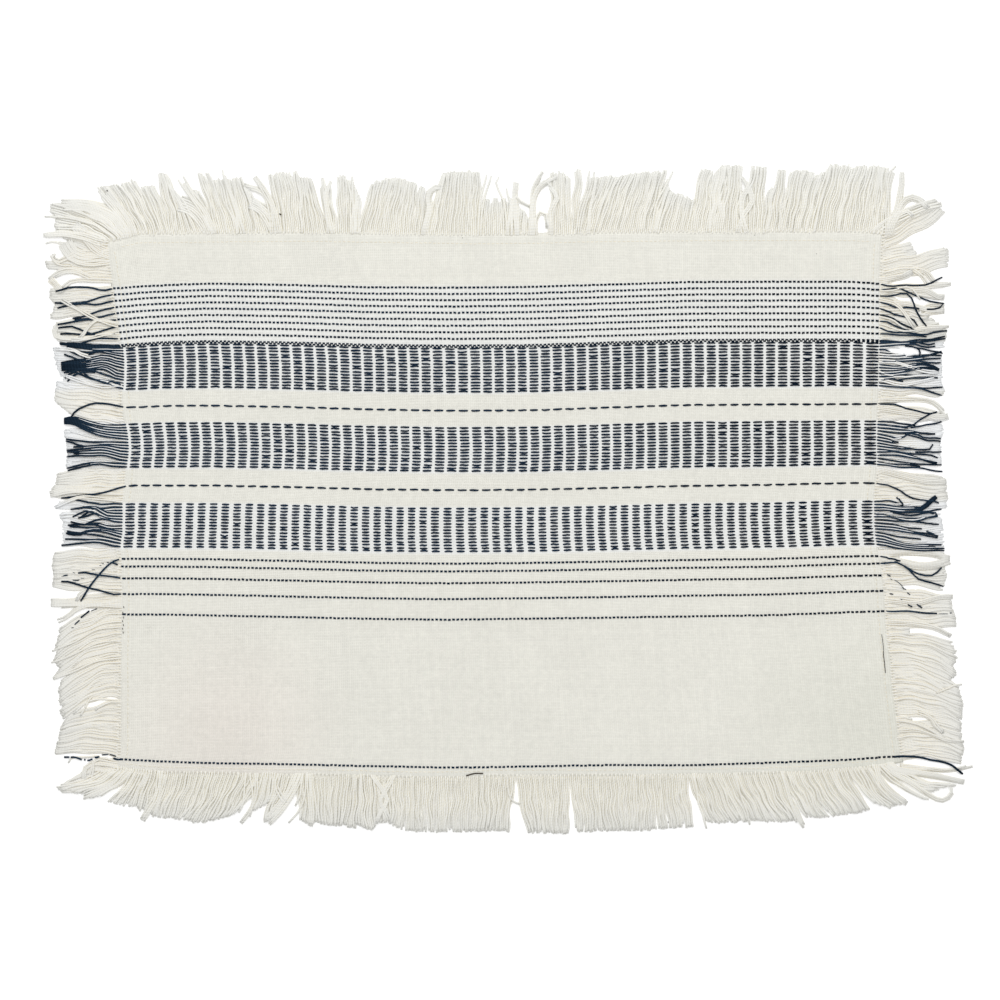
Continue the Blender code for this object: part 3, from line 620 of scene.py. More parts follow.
# the same painted sheen for the loose navy ends
LOOSE_NAVY_PAINTED_SHEEN = (0.062, 0.122, 0.200)
STITCH = (0.84, 0.79, 0.66)
# painted shade in the grooves of the stitching thread's twist
STITCH_GROOVE_PAINTED_SHADE = (0.78, 0.72, 0.57)
HUSK = (0.060, 0.045, 0.030)
# painted shade in the grooves of the dark thread and husk
HUSK_GROOVE_PAINTED_SHADE = (0.03, 0.025, 0.02)


# ---------------------------------------------------------------- lines and places

HALF_SPAN = 262.0
EDGE_REACH, LEFT_REACH, WEFT_REACH = 4, 3, 7  # over how many millimetres the corners of a line are rounded
NEAR_FLOOR = 0.1


def ease(t):
    """From 0 to 1, slow at both ends."""
    t = np.clip(t, 0.0, 1.0)
    return t * t * (3 - 2 * t)


def soft_line(places, values, reach):
    """A line through the points, a value each millimetre, with its corners rounded over the reach."""
    order = np.argsort(places)
    fine = np.arange(-HALF_SPAN, HALF_SPAN + 1.0)
    line = np.interp(fine, np.asarray(places, float)[order], np.asarray(values, float)[order])
    window = np.hanning(2 * reach + 3)[1:-1]
    padded = np.pad(line, reach, mode="edge")
    return fine, np.convolve(padded, window / window.sum(), "valid")


def at(line, places):
    return np.interp(places, line[0], line[1])


def packed_edges():
    """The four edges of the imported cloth, each as a line."""
    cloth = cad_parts["cloth"]
    floor_points = [v.co for v in cloth.data.vertices if v.co.z < NEAR_FLOOR * MM]
    low = {(round(point.x / MM, 2), round(point.y / MM, 2)) for point in floor_points}
    rim = np.array(sorted(low, key=lambda p: math.atan2(p[1], p[0])))

    def corner(right, up):
        return int(np.argmax(rim @ np.array([right, up])))

    def run(start, stop):
        count = (stop - start) % len(rim) + 1
        return rim[(start + np.arange(count)) % len(rim)]

    low_left, low_right, high_right, high_left = corner(-1, -1), corner(1, -1), corner(1, 1), corner(-1, 1)
    bottom, right = run(low_left, low_right), run(low_right, high_right)
    top, left = run(high_right, high_left), run(high_left, low_left)
    return {
        "bottom": soft_line(bottom[:, 0], bottom[:, 1], EDGE_REACH),
        "right": soft_line(right[:, 1], right[:, 0], EDGE_REACH),
        "top": soft_line(top[:, 0], top[:, 1], EDGE_REACH),
        "left": soft_line(left[:, 1], left[:, 0], EDGE_REACH),
    }


EDGES = packed_edges()
PACKED_LEFT = EDGES["left"]
heights_down, places_down = zip(*LEFT_EDGE)
EDGES["left"] = soft_line(heights_down, places_down, LEFT_REACH)
PICKS, HEIGHTS = (np.array(column, float) for column in zip(*PICK_HEIGHTS))
WARPS, SHARES = (np.array(column, float) for column in zip(*WARP_SHARES))
LINE_PICKS = np.array([TOP_PICK, *WEFT_LINES, BOTTOM_PICK])
MEASURED = [soft_line(WEFT_STATIONS, heights, WEFT_REACH) for heights in WEFT_LINES.values()]
LINES = [EDGES["top"], *MEASURED, EDGES["bottom"]]
LINE_HEIGHTS = np.interp(LINE_PICKS, PICKS, HEIGHTS)


def pick_height(x, pick):
    """The height of a pick at x, between the measured lines above and below it."""
    lines = np.stack([at(line, x) for line in LINES])
    above = np.clip(np.searchsorted(LINE_PICKS, pick, side="right") - 1, 0, len(LINES) - 2)
    here = np.interp(pick, PICKS, HEIGHTS)
    share = (here - LINE_HEIGHTS[above]) / (LINE_HEIGHTS[above + 1] - LINE_HEIGHTS[above])
    column = np.arange(len(x))
    return lines[above, column] * (1 - share) + lines[above + 1, column] * share


def mat_point(warp, pick):
    """Where a warp and a pick cross."""
    warp, pick = np.broadcast_arrays(np.asarray(warp, float), np.asarray(pick, float))
    share = np.interp(warp, WARPS, SHARES)
    y = np.interp(pick, PICKS, HEIGHTS)
    nearness = (warp - FIRST_WARP) / (ANCHOR_WARP - FIRST_WARP)
    for _ in range(3):
        left, right = at(PACKED_LEFT, y), at(EDGES["right"], y)
        x = left + (right - left) * share
        anchor = left + (right - left) * np.interp(ANCHOR_WARP, WARPS, SHARES)
        edge = at(EDGES["left"], y)
        x = np.where(nearness < 1, edge + (anchor - edge) * nearness, x)
        y = pick_height(x, pick)
    return x, y


def inset(x, y):
    """How far inside the cloth's edges a point is."""
    sides = [
        x - at(EDGES["left"], y),
        at(EDGES["right"], y) - x,
        y - at(EDGES["bottom"], x),
        at(EDGES["top"], x) - y,
    ]
    return np.minimum.reduce(sides)


def lift(x, y):
    """The soft fold, the ripples and the slight waves that the whole cloth has."""
    rise = np.zeros_like(x)
    for middle, half_width, height in [FOLD, *RIPPLES]:
        rise += height * (1 - ease(np.abs(x - middle) / half_width))
    waves = 0.5 + 0.25 * np.sin(x / 17.0 + y / 41.0) + 0.25 * np.sin(y / 13.0 - x / 53.0 + 1.0)
    return (rise + WAVE_HEIGHT * waves) * ease(inset(x, y) / FLAT_MARGIN)


def rim_share(x, y):
    return 1 - ease(inset(x, y) / RIM_WIDTH)


def cloth_top(x, y):
    return CLOTH_TOP + lift(x, y) - (CLOTH_TOP - RIM_TOP) * rim_share(x, y)


# ---------------------------------------------------------------- yarn geometry

WOVEN_SIDES, LOOSE_SIDES = 5, 6
UV_LENGTH = 100.0  # a yarn's own map counts its length in hundreds of millimetres


def yarn_mesh(name, yarns, sides):
    """One mesh of many yarns, each a closed tube with its own map.

    A yarn is its path, half width and half height at each point of it, and one tint.
    """
    angles = math.pi / 2 + 2 * math.pi * np.arange(sides) / sides
    points, corners, sizes, uvs, tints, shares = [], [], [], [], [], []
    first = 0
    for path, half_width, half_height, tint in yarns:
        count = len(path)
        heading = np.gradient(path[:, :2], axis=0)
        heading /= np.maximum(np.linalg.norm(heading, axis=1, keepdims=True), 1e-6)
        sideways = np.stack([-heading[:, 1], heading[:, 0]], axis=1)
        across = np.cos(angles)[None, :, None] * sideways[:, None, :] * half_width[:, None, None]
        upward = np.sin(angles)[None, :] * half_height[:, None]
        ring = np.empty((count, sides, 3))
        ring[:, :, :2] = path[:, None, :2] - across
        ring[:, :, 2] = path[:, None, 2] + upward
        points.append(ring.reshape(-1, 3))
        steps = np.linalg.norm(np.diff(path, axis=0), axis=1)
        along = np.concatenate([[0.0], np.cumsum(steps)])
        s, j = np.meshgrid(np.arange(count - 1), np.arange(sides), indexing="ij")
        k = (j + 1) % sides
        here, after = s * sides, (s + 1) * sides
        quads = np.stack([here + k, here + j, after + j, after + k], axis=-1).reshape(-1, 4)
        turn = np.stack([j + 1, j, j, j + 1], axis=-1).reshape(-1, 4) / sides
        reach = np.stack([along[s], along[s], along[s + 1], along[s + 1]], axis=-1).reshape(-1, 4) / UV_LENGTH
        start_cap, end_cap = np.arange(sides), (count - 1) * sides + np.arange(sides)[::-1]
        corners += [first + quads.ravel(), first + start_cap, first + end_cap]
        sizes += [np.full(len(quads), 4), [sides, sides]]
        wall = np.stack([reach.ravel(), turn.ravel()], axis=1)
        cap_turn = np.arange(sides) / sides
        low = np.stack([np.zeros(sides), cap_turn], axis=1)
        high = np.stack([np.full(sides, along[-1] / UV_LENGTH), cap_turn[::-1]], axis=1)
        uvs += [wall, low, high]
        tints.append(np.full(count * sides, tint))
        shares.append(np.repeat(along / max(along[-1], 1e-6), sides))
        first += count * sides
    mesh = bpy.data.meshes.new(name)
    points = np.concatenate(points) * MM
    corners, sizes = np.concatenate(corners), np.concatenate(sizes)
    mesh.vertices.add(len(points))
    mesh.vertices.foreach_set("co", points.astype(np.float32).ravel())
    mesh.loops.add(len(corners))
    mesh.loops.foreach_set("vertex_index", corners.astype(np.int32))
    mesh.polygons.add(len(sizes))
    starts = np.concatenate([[0], np.cumsum(sizes)[:-1]])
    mesh.polygons.foreach_set("loop_start", starts.astype(np.int32))
    mesh.update(calc_edges=True)
    mesh.validate()
    mesh.polygons.foreach_set("use_smooth", sizes == 4)
    layer = mesh.uv_layers.new(name="yarn")
    layer.data.foreach_set("uv", np.concatenate(uvs).astype(np.float32).ravel())
    for label, values in (("tint", tints), ("share", shares)):
        attribute = mesh.attributes.new(label, "FLOAT", "POINT")
        attribute.data.foreach_set("value", np.concatenate(values).astype(np.float32))
    return add_piece(name, mesh)


def add_piece(name, mesh):
    piece = bpy.data.objects.new(name, mesh)
    bpy.context.scene.collection.objects.link(piece)
    return piece


# ---------------------------------------------------------------- the woven cloth

CELLS_ACROSS = 200
CELLS_DOWN = 140
UV_RANGE = 400.0
UV_SHIFT = 2.0  # the first warp's number is just below zero


def woven_cloth():
    """The cloth as one closed sheet with the fold and ripples in both its faces."""
    bm = bmesh.new()
    bmesh.ops.create_grid(bm, x_segments=CELLS_ACROSS, y_segments=CELLS_DOWN, size=0.5)
    raised = bmesh.ops.extrude_face_region(bm, geom=bm.faces[:])
    moved = [item for item in raised["geom"] if isinstance(item, bmesh.types.BMVert)]
    bmesh.ops.translate(bm, verts=moved, vec=(0, 0, 1))
    bmesh.ops.recalc_face_normals(bm, faces=bm.faces[:])
    mesh = bpy.data.meshes.new("woven_cloth")
    bm.to_mesh(mesh)
    bm.free()
    flat = np.empty(len(mesh.vertices) * 3, np.float32)
    mesh.vertices.foreach_get("co", flat)
    flat = flat.reshape(-1, 3).astype(float)
    warp = FIRST_WARP + (LAST_WARP - FIRST_WARP) * (flat[:, 0] + 0.5)
    pick = TOP_PICK + (BOTTOM_PICK - TOP_PICK) * (0.5 - flat[:, 1])
    x, y = mat_point(warp, pick)
    under = CLOTH_UNDERSIDE + UNDER_FOLLOWS * lift(x, y) + RIM_UNDER * rim_share(x, y)
    z = np.where(flat[:, 2] > 0.5, cloth_top(x, y), under)
    placed = np.stack([x, y, z], axis=1) * MM
    mesh.vertices.foreach_set("co", placed.astype(np.float32).ravel())
    corner = np.empty(len(mesh.loops), np.int32)
    mesh.loops.foreach_get("vertex_index", corner)
    layer = mesh.uv_layers.new(name="weave")
    counts = np.stack([(warp[corner] + UV_SHIFT) / UV_RANGE, pick[corner] / UV_RANGE], axis=1)
    layer.data.foreach_set("uv", counts.astype(np.float32).ravel())
    mesh.polygons.foreach_set("use_smooth", np.ones(len(mesh.polygons), bool))
    mesh.update()
    return add_piece("woven_cloth", mesh)


# ---------------------------------------------------------------- the navy weft

DIPPED = -9.0  # marks a place where the navy weft passes below the warp
UNDER_HEIGHT = 0.36
FLOATS_ACROSS = 63

# Lengths along a pick are counted in warps.
DOT_HALF, SHORTEST_DOT, LONGEST_DOT = 0.55, 0.40, 0.68
DOT_SPREAD, DOT_TILT = 0.06, 0.05
DOT_RISE = 0.12
DIP_HALF = 0.18
DOT_HALF_WIDTH, HEADER_HALF_WIDTH = 0.55, 0.43
DOT_HALF_HEIGHT, FLOAT_HALF_HEIGHT = 0.36, 0.37
HEADER_PICKS = (70, 71)  # finer, and close to the first band
REGULAR_DOTS_END = 369
# Near the right edge the warps are wider apart, and the dots stand at these places instead.
RIGHT_END_DOTS = [369.3, 371.6, 373.4, 375.1, 376.8]

FLOAT_RISES = [0.10, 0.30, 0.30, 0.10]
CROWN = 0.42  # the highest part of a float, as a share of its length
FIRST_FLOAT_HALF = 1.95  # half the length that a pick's first float has at the least
FLOAT_HALF_WIDTH, FLOAT_END_HALF_WIDTH, DIPPED_HALF_WIDTH = 0.51, 0.42, 0.40
FLOAT_DIP_HALF = 0.25
# How much floats differ in their place, length and width, and how much they sway and lean
PLACE_SPREAD, LENGTH_SPREAD, WIDTH_SPREAD = 0.1, 0.045, 0.035
FLOAT_SWAY, LEAN_SPREAD = 0.07, 0.05
END_PULL = 0.3  # a float's ends follow its lean by this share
FIRST_ROW_SCALE, LAST_ROW_SCALE = 0.87, 1.07  # the first band starts with a finer yarn; bands end fuller
TWO_MERGE = 0.05  # how often neighbouring floats lie together
TWO_MERGE_AT_ENDS = 0.35
MERGE_LEAN = 0.24
LAST_ROW_LEAN = 0.15


def woven_yarn(warps, rises, pick, wander, half_width, half_height):
    """A navy weft through the cloth: at each warp, how far it stands over (or lies under) the surface."""
    warps, rises = np.array(warps, float), np.array(rises, float)
    x, y = mat_point(warps, np.full(len(warps), pick + 0.5))
    y = y + wander
    height = np.where(rises > -1, cloth_top(x, y) + rises, UNDER_HEIGHT + UNDER_FOLLOWS * lift(x, y))
    path = np.stack([x, y, height], axis=1)
    return path, half_width * np.ones(len(warps)), np.full(len(warps), half_height), rng.random()


def dotted_yarn(pick):
    """One navy weft that passes over every second warp."""
    warps, rises, wander = [FIRST_WARP + 0.5], [DIPPED], [0.0]
    first = -1 if pick % 2 == 0 else 0
    places = [place for place in range(first, REGULAR_DOTS_END, 2)] + RIGHT_END_DOTS
    for place, after in zip(places, [*places[1:], LAST_WARP]):
        half = float(np.clip(DOT_HALF + DOT_SPREAD * rng.standard_normal(), SHORTEST_DOT, LONGEST_DOT))
        sway, tilt = DOT_SPREAD * rng.standard_normal(), DOT_TILT * rng.standard_normal()
        middle = (place + after) / 2
        warps += [place - half, place + half, middle - DIP_HALF, middle + DIP_HALF]
        rises += [DOT_RISE, DOT_RISE, DIPPED, DIPPED]
        wander += [sway - tilt, sway + tilt, 0.0, 0.0]
    half_width = HEADER_HALF_WIDTH if pick in HEADER_PICKS else DOT_HALF_WIDTH
    return woven_yarn(warps, rises, pick, np.array(wander), half_width, DOT_HALF_HEIGHT)


def float_yarn(pick, half_float, lean, last_row):
    """One navy weft that floats over five warps at a time; lean pulls neighbouring floats together."""
    warps, rises, wander = [FIRST_WARP + 0.5, -0.3], [DIPPED, DIPPED], [0.0, 0.0]
    widths = [DIPPED_HALF_WIDTH, DIPPED_HALF_WIDTH]
    for group in range(FLOATS_ACROSS):
        middle = group * WARPS_PER_FLOAT + WARPS_PER_FLOAT // 2 + PLACE_SPREAD * rng.standard_normal()
        longer = max(half_float, FIRST_FLOAT_HALF) if group == 0 else half_float
        half = longer * (1 + LENGTH_SPREAD * rng.standard_normal())
        pull = lean[group]
        sway = FLOAT_SWAY * rng.standard_normal(4)
        warps += [middle - half, middle - CROWN * half, middle + CROWN * half, middle + half]
        rises += FLOAT_RISES
        wander += [sway[0] + END_PULL * pull, sway[1] + pull, sway[2] + pull, sway[3] + END_PULL * pull]
        full = FLOAT_HALF_WIDTH + WIDTH_SPREAD * rng.standard_normal()
        widths += [FLOAT_END_HALF_WIDTH, full, full, FLOAT_END_HALF_WIDTH]
        after = (group + 1) * WARPS_PER_FLOAT
        warps += [after - FLOAT_DIP_HALF, after + FLOAT_DIP_HALF]
        rises += [DIPPED, DIPPED]
        wander += [0.0, 0.0]
        widths += [DIPPED_HALF_WIDTH, DIPPED_HALF_WIDTH]
    scale = LAST_ROW_SCALE if last_row else FIRST_ROW_SCALE if pick == FLOAT_BANDS[0][0] else 1.0
    return woven_yarn(warps, rises, pick, np.array(wander), scale * np.array(widths), FLOAT_HALF_HEIGHT)


def navy_weft():
    """The dotted picks as one piece, and the float bands with the dashed picks as another."""
    dots = yarn_mesh("navy_dots", [dotted_yarn(pick) for pick in DOTTED_PICKS], WOVEN_SIDES)
    floats = []
    for first, last, half in FLOAT_BANDS:
        rows = list(range(first, last + 1, 2))
        lean = np.zeros((len(rows), FLOATS_ACROSS))
        for group in range(FLOATS_ACROSS):
            chance = TWO_MERGE_AT_ENDS if group in (0, FLOATS_ACROSS - 1) else TWO_MERGE
            for row in range(len(rows) - 1):
                if rng.random() < chance:
                    lean[row, group] -= MERGE_LEAN
                    lean[row + 1, group] += MERGE_LEAN
        lean += LEAN_SPREAD * rng.standard_normal(lean.shape)
        lean[-1] += LAST_ROW_LEAN
        floats += [float_yarn(pick, half, lean[i], pick == last) for i, pick in enumerate(rows)]
    for pick, half in DASHED_PICKS:
        floats.append(float_yarn(pick, half, LEAN_SPREAD * rng.standard_normal(FLOATS_ACROSS), False))
    return dots, yarn_mesh("navy_bands", floats, WOVEN_SIDES)


# ---------------------------------------------------------------- how loose yarns lie

# The pile is a grid of heights: what lies on the table so far.
CELL = 0.4
PILE_LOW = np.array([-262.0, -192.0])
PILE_SHAPE = (1310, 960)
PILE_LIMIT = 1.6  # about how high yarns heap up over the first
LANES = np.array([-0.85, -0.45, 0.0, 0.45, 0.85])  # where a yarn's width is tested against the pile
SINKS_IN = 0.25  # how far a yarn that crosses the cloth presses into it
AIR = 0.03  # the space under a yarn that lies on the table
ROOT_CLEAR, ROOT_BLEND = 1.5, 5.0  # a yarn is clear of the cloth from here on, and over this length
FRAY_FROM, FRAY_TO = 0.97, 1.14  # a cut yarn opens towards its end
END_WIDTH, END_HEIGHT = 0.8, 0.6
pile = np.zeros(PILE_SHAPE)


def start_pile():
    """Yarns that cross the cloth lie on it, a little pressed in."""
    x = PILE_LOW[0] + CELL * np.arange(PILE_SHAPE[0])
    y = PILE_LOW[1] + CELL * np.arange(PILE_SHAPE[1])
    grid_x, grid_y = (part.ravel() for part in np.meshgrid(x, y, indexing="ij"))
    inside = inset(grid_x, grid_y) > 0.0
    pile[:] = np.where(inside, cloth_top(grid_x, grid_y) - SINKS_IN, 0.0).reshape(PILE_SHAPE)


def spread_max(values, reach):
    padded = np.pad(values, reach, mode="edge")
    windows = np.lib.stride_tricks.sliding_window_view(padded, 2 * reach + 1)
    return windows.max(axis=1)


def smoothed(values, reach):
    window = np.hanning(2 * reach + 3)[1:-1]
    return np.convolve(np.pad(values, reach, mode="edge"), window / window.sum(), "valid")


def length_along(route):
    return np.concatenate([[0.0], np.cumsum(np.linalg.norm(np.diff(route, axis=0), axis=1))])


def lay(
    route, start, half_width=YARN_HALF_WIDTH, half_height=YARN_HALF_HEIGHT, climb=1.2, press=1.0, rise=1.0
):
    """Lays one yarn along a route over what lies there already, and returns it for yarn_mesh.

    The yarn comes up from its start height over the length of the climb. Only the pressed share of its width
    bears on the pile, and once clear of the cloth it rises over the pile by the rise's share of its height.
    """
    along = length_along(route)
    fine = np.linspace(0, along[-1], max(int(along[-1] / CELL), 8))
    x, y = np.interp(fine, along, route[:, 0]), np.interp(fine, along, route[:, 1])
    heading = np.stack([np.gradient(x), np.gradient(y)], axis=1)
    heading /= np.maximum(np.linalg.norm(heading, axis=1, keepdims=True), 1e-6)
    offsets = LANES[None, :] * half_width * press
    cells_x = np.rint((x[:, None] - heading[:, 1:] * offsets - PILE_LOW[0]) / CELL).astype(int)
    cells_y = np.rint((y[:, None] + heading[:, :1] * offsets - PILE_LOW[1]) / CELL).astype(int)
    cells_x = np.clip(cells_x, 0, PILE_SHAPE[0] - 1)
    cells_y = np.clip(cells_y, 0, PILE_SHAPE[1] - 1)
    belly = half_height * np.sqrt(1 - LANES**2)
    needed = (pile[cells_x, cells_y] + belly[None, :]).max(axis=1)
    clear = ease((fine - ROOT_CLEAR) / ROOT_BLEND)
    needed = (smoothed(spread_max(needed, 2), 4) - half_height) * (1 - (1 - rise) * clear)
    resting = half_height + AIR + PILE_LIMIT * (1 - np.exp(-np.maximum(needed, 0) / PILE_LIMIT))
    height = start + (resting - start) * ease(fine / climb)
    np.maximum.at(pile, (cells_x, cells_y), height[:, None] + belly[None, :])
    path = np.stack([route[:, 0], route[:, 1], np.interp(along, fine, height)], axis=1)
    fray = np.linspace(FRAY_FROM, FRAY_TO, len(path))
    widths, heights = half_width * fray, half_height * fray
    widths[-1] *= END_WIDTH
    heights[-1] *= END_HEIGHT
    return path, widths, heights, rng.random()


FINE_SPACING = 1.2


def resampled(route, count):
    """The same route by so many evenly spaced points."""
    along = length_along(route)
    even = np.linspace(0, along[-1], count)
    return np.stack([np.interp(even, along, route[:, 0]), np.interp(even, along, route[:, 1])], axis=1)


def smooth_route(points, spacing=3.0):
    """An even curve through the points."""
    points = np.asarray(points, float)
    ends = np.concatenate([[2 * points[0] - points[1]], points, [2 * points[-1] - points[-2]]])
    t = np.linspace(0, 1, 12, endpoint=False)[:, None]
    parts = []
    for a, b, c, d in zip(ends, ends[1:], ends[2:], ends[3:]):
        bend, twist = 2 * a - 5 * b + 4 * c - d, 3 * b - a - 3 * c + d
        parts.append(0.5 * (2 * b + (c - a) * t + bend * t**2 + twist * t**3))
    fine = np.concatenate([*parts, points[-1:]])
    return resampled(fine, max(int(length_along(fine)[-1] / spacing), 7))


LONG_EDGES = ("top", "bottom")
# How yarns lie along the long and the short edges: half width, half height, and the press and rise of lay.
LONG_EDGE_LIE = (YARN_HALF_WIDTH, YARN_HALF_HEIGHT, 0.8, 1.0)
SHORT_EDGE_LIE = (0.66, SIDE_HALF_HEIGHT, 0.4, 0.5)
SECTIONS = 18  # points along each yarn of a tuft
WHOLE_TURN = 6.3
NAVY_SHARE = 1.6  # ivory yarns are this much further apart where navy ones lie between them
TIP_CROWDING = 0.95  # at a wide cut end, how many yarns there are for each pitch of its width
SIDE_CALM = 0.3  # along the short edges single yarns keep closer to their neighbours
TOP_CALM = 0.65  # the top edge's yarns sway by this share
TRIM_SPREAD = 0.35
SHORT_YARNS = 0.10  # the share of yarns that end short of the cut
MOST_SHORT = 2.5  # and by how much at most
STRAIGHT_OUT = 0.35  # how straight out of the cloth a tuft starts
BEND_AT = 0.40  # where along the tuft it bends
SWAY_GROWS = 14.0  # the sway is full from this far out
OWN_SWAY, OWN_WAVES = 0.26, (1.6, 3.2)
LOWER_ROOT, UPPER_ROOTS = 1.4, (1.6, 2.6)  # how far inside the cloth's edge the yarns start
# Strands have two to five yarns, and this share of them is only loosely drawn together.
STRAND_YARNS = (2, 6)
LOOSE_STRANDS = 0.85
LOOSE_PULL, TIGHT_PULL = (0.0, 0.14), (0.14, 0.35)


def edge_point(edge, place):
    """A point on a cloth edge, and the direction out of the cloth there."""
    if edge in LONG_EDGES:
        return np.array([place, at(EDGES[edge], place)]), np.array([0.0, 1.0 if edge == "top" else -1.0])
    return np.array([at(EDGES[edge], place), place]), np.array([1.0 if edge == "right" else -1.0, 0.0])


def sideways_of(route):
    """The direction across a route at each of its points."""
    heading = np.gradient(route, axis=0)
    heading /= np.maximum(np.linalg.norm(heading, axis=1, keepdims=True), 1e-6)
    return np.stack([-heading[:, 1], heading[:, 0]], axis=1)


def tuft_routes(edge, tuft, waves):
    """The yarns of one tuft, side by side where they leave the cloth and gathered at its cut end."""
    from_place, to_place, tip_a, tip_b, bulge, *arch = tuft
    pitch = WARP_PITCH if edge in LONG_EDGES else WEFT_PITCH
    tip_a, tip_b = np.array(tip_a, float), np.array(tip_b, float)
    root_width, tip_width = abs(to_place - from_place), float(np.linalg.norm(tip_b - tip_a))
    middle = (from_place + to_place) / 2
    if edge not in LONG_EDGES and any(low < middle < high for low, high in NAVY_HEIGHTS):
        pitch *= NAVY_SHARE
    count = max(1, round(max(root_width / pitch, TIP_CROWDING * tip_width / WARP_PITCH)))
    calm = 1.0 if edge in LONG_EDGES else SIDE_CALM
    t = np.linspace(0, 1, SECTIONS - 2)[:, None]
    routes = []
    for i in range(count):
        share = (i + 0.5) / count
        place = from_place + (to_place - from_place) * share
        root, out = edge_point(edge, place)
        tip = tip_a + (tip_b - tip_a) * share + out * bulge * (1 - (2 * share - 1) ** 2)
        reach = tip - root
        length = np.linalg.norm(reach)
        trim = TRIM_SPREAD * rng.standard_normal() - (rng.random() < SHORT_YARNS) * MOST_SHORT * rng.random()
        tip = tip + reach / length * trim
        leaning = out * STRAIGHT_OUT + reach / length * (1 - STRAIGHT_OUT)
        control = root + leaning * BEND_AT * length + np.array([0.0, sum(arch)])
        curve = root * (1 - t) ** 2 + control * 2 * t * (1 - t) + tip * t**2
        distance = t[:, 0] * length
        across = sideways_of(curve)
        sway = 0.45 * np.sin(distance / 2.9 + place / 4.1 + waves[0])
        sway += 0.38 * np.sin(distance / 4.6 - place / 7.3 + waves[1])
        sway *= TOP_CALM if edge == "top" else 1.0
        own = OWN_SWAY * calm * np.sin(distance / rng.uniform(*OWN_WAVES) + rng.uniform(0, WHOLE_TURN))
        curve = curve + across * ((sway + own) * np.minimum(distance / SWAY_GROWS, 1.0))[:, None]
        inside = rng.uniform(*UPPER_ROOTS) if i % 2 else LOWER_ROOT
        start = root - out * inside
        routes.append(np.concatenate([start[None, :], (root - out * 0.45 * inside)[None, :], curve]))
    routes = np.array(routes)
    first = 0
    ramp = ease(np.linspace(-0.15, 1.0, SECTIONS))[None, :, None]
    while first < count:
        size = int(rng.integers(*STRAND_YARNS))
        group = routes[first : first + size]
        pull = rng.uniform(*LOOSE_PULL) if rng.random() < LOOSE_STRANDS else rng.uniform(*TIGHT_PULL)
        group += (group.mean(axis=0, keepdims=True) - group) * pull * calm * ramp
        first += size
    return list(routes)


ROOT_NEARNESS = 5.0  # a route that starts this near the cloth begins inside its edge
LOCK_SWAY, LOCK_WAVES = 0.16, (7, 16)
SHORT_IN_LOCK = 0.25  # the share of a lock's yarns that end a little short


def lock_routes(lock, edge, inside=1.8):
    """The yarns of one lock, or the one single yarn, side by side along the route."""
    count, root_width, tip_width, points = lock if isinstance(lock, tuple) else (1, 0, 0, lock)
    line = smooth_route(points)
    start = line[0]
    if inset(start[:1], start[1:])[0] > -ROOT_NEARNESS:
        root, out = edge_point(edge, start[0] if edge in LONG_EDGES else start[1])
        line = np.concatenate([[root - out * inside], [root - out * (inside - 0.9)], line[1:]])
    t = np.linspace(0, 1, len(line))
    across = sideways_of(line)
    routes = []
    for i in range(count):
        place = 0.0 if count == 1 else i / (count - 1) - 0.5
        width = root_width + (tip_width - root_width) * t
        wave = np.sin(t * rng.uniform(*LOCK_WAVES) + rng.uniform(0, WHOLE_TURN))
        sway = LOCK_SWAY * wave * np.minimum(t * 6, 1)
        route = line + across * (place * width + sway)[:, None]
        keep = len(route) - int(rng.random() < SHORT_IN_LOCK and count > 2 and len(route) > 9)
        routes.append(route[:keep])
    return routes


SLIT_AT_ROOTS, SLIT_AT_TIPS = 1.6, 3.6  # wider slits than these stay open


def filling_routes(last, following, root_gap, tip_gap):
    """Yarns that close the slit between two tufts that touch both at their roots and at their tips."""
    if root_gap > SLIT_AT_ROOTS or tip_gap > SLIT_AT_TIPS:
        return []
    widest = np.linalg.norm(following - last, axis=1).max()
    count = int(widest / WARP_PITCH)
    return [last + (following - last) * ((i + 1) / (count + 1)) for i in range(count)]


# Every second yarn comes out of the cloth's upper side: the height that it starts at, and its climb.
UPPER_START, LOWER_START = (0.8, 1.2), (0.55, 4.0)
LOCK_START = 0.6


def fringe_yarns(edge, tufts, locks):
    """The ivory yarns along one edge: its tufts, laid in a random order, and then what crosses them."""
    waves = rng.uniform(0, WHOLE_TURN, 2)
    wide, flat, press, rise = LONG_EDGE_LIE if edge in LONG_EDGES else SHORT_EDGE_LIE
    routes = []
    before = None
    for tuft in tufts:
        routed = tuft_routes(edge, tuft, waves)
        if before is not None:
            root_gap = abs(tuft[0] - before[1])
            tip_gap = math.dist(tuft[2], before[3])
            routes += filling_routes(routes[-1], routed[0], root_gap, tip_gap)
        routes += routed
        before = tuft
    laid = [None] * len(routes)
    for i in rng.permutation(len(routes)):
        start, climb = UPPER_START if i % 2 else LOWER_START
        laid[i] = lay(routes[i], start, wide, flat, climb, press, rise)
    for lock in locks:
        laid += [lay(route, LOCK_START, half_height=flat) for route in lock_routes(lock, edge)]
    return laid


NAVY_ROWS = sorted(
    [*DOTTED_PICKS, *(pick for pick, _ in DASHED_PICKS)]
    + [pick for first, last, _ in FLOAT_BANDS for pick in range(first, last + 1, 2)]
)
# These lie under the ivory yarns, and only show in places.
HIDDEN_ENDS = {("left", 216), ("left", 247), ("left", 343), ("right", 223), ("right", 233), ("right", 343)}
NAVY_HALF_WIDTH = {"left": 0.53, "right": 0.47}
NAVY_HALF_HEIGHT = 0.38
AT_THE_EDGE = 2.0  # a route that starts this near the edge, and this near a pick's end, belongs to the pick
TAKEN_ALREADY = 50  # counts against a pick that has a route
OWN_FADE, BORROWED_FADE = 14.0, 60.0  # over this length an end leaves its pick's height for its route
CLEAR_OF_EDGE = 1.5  # a route's own points start this far along it
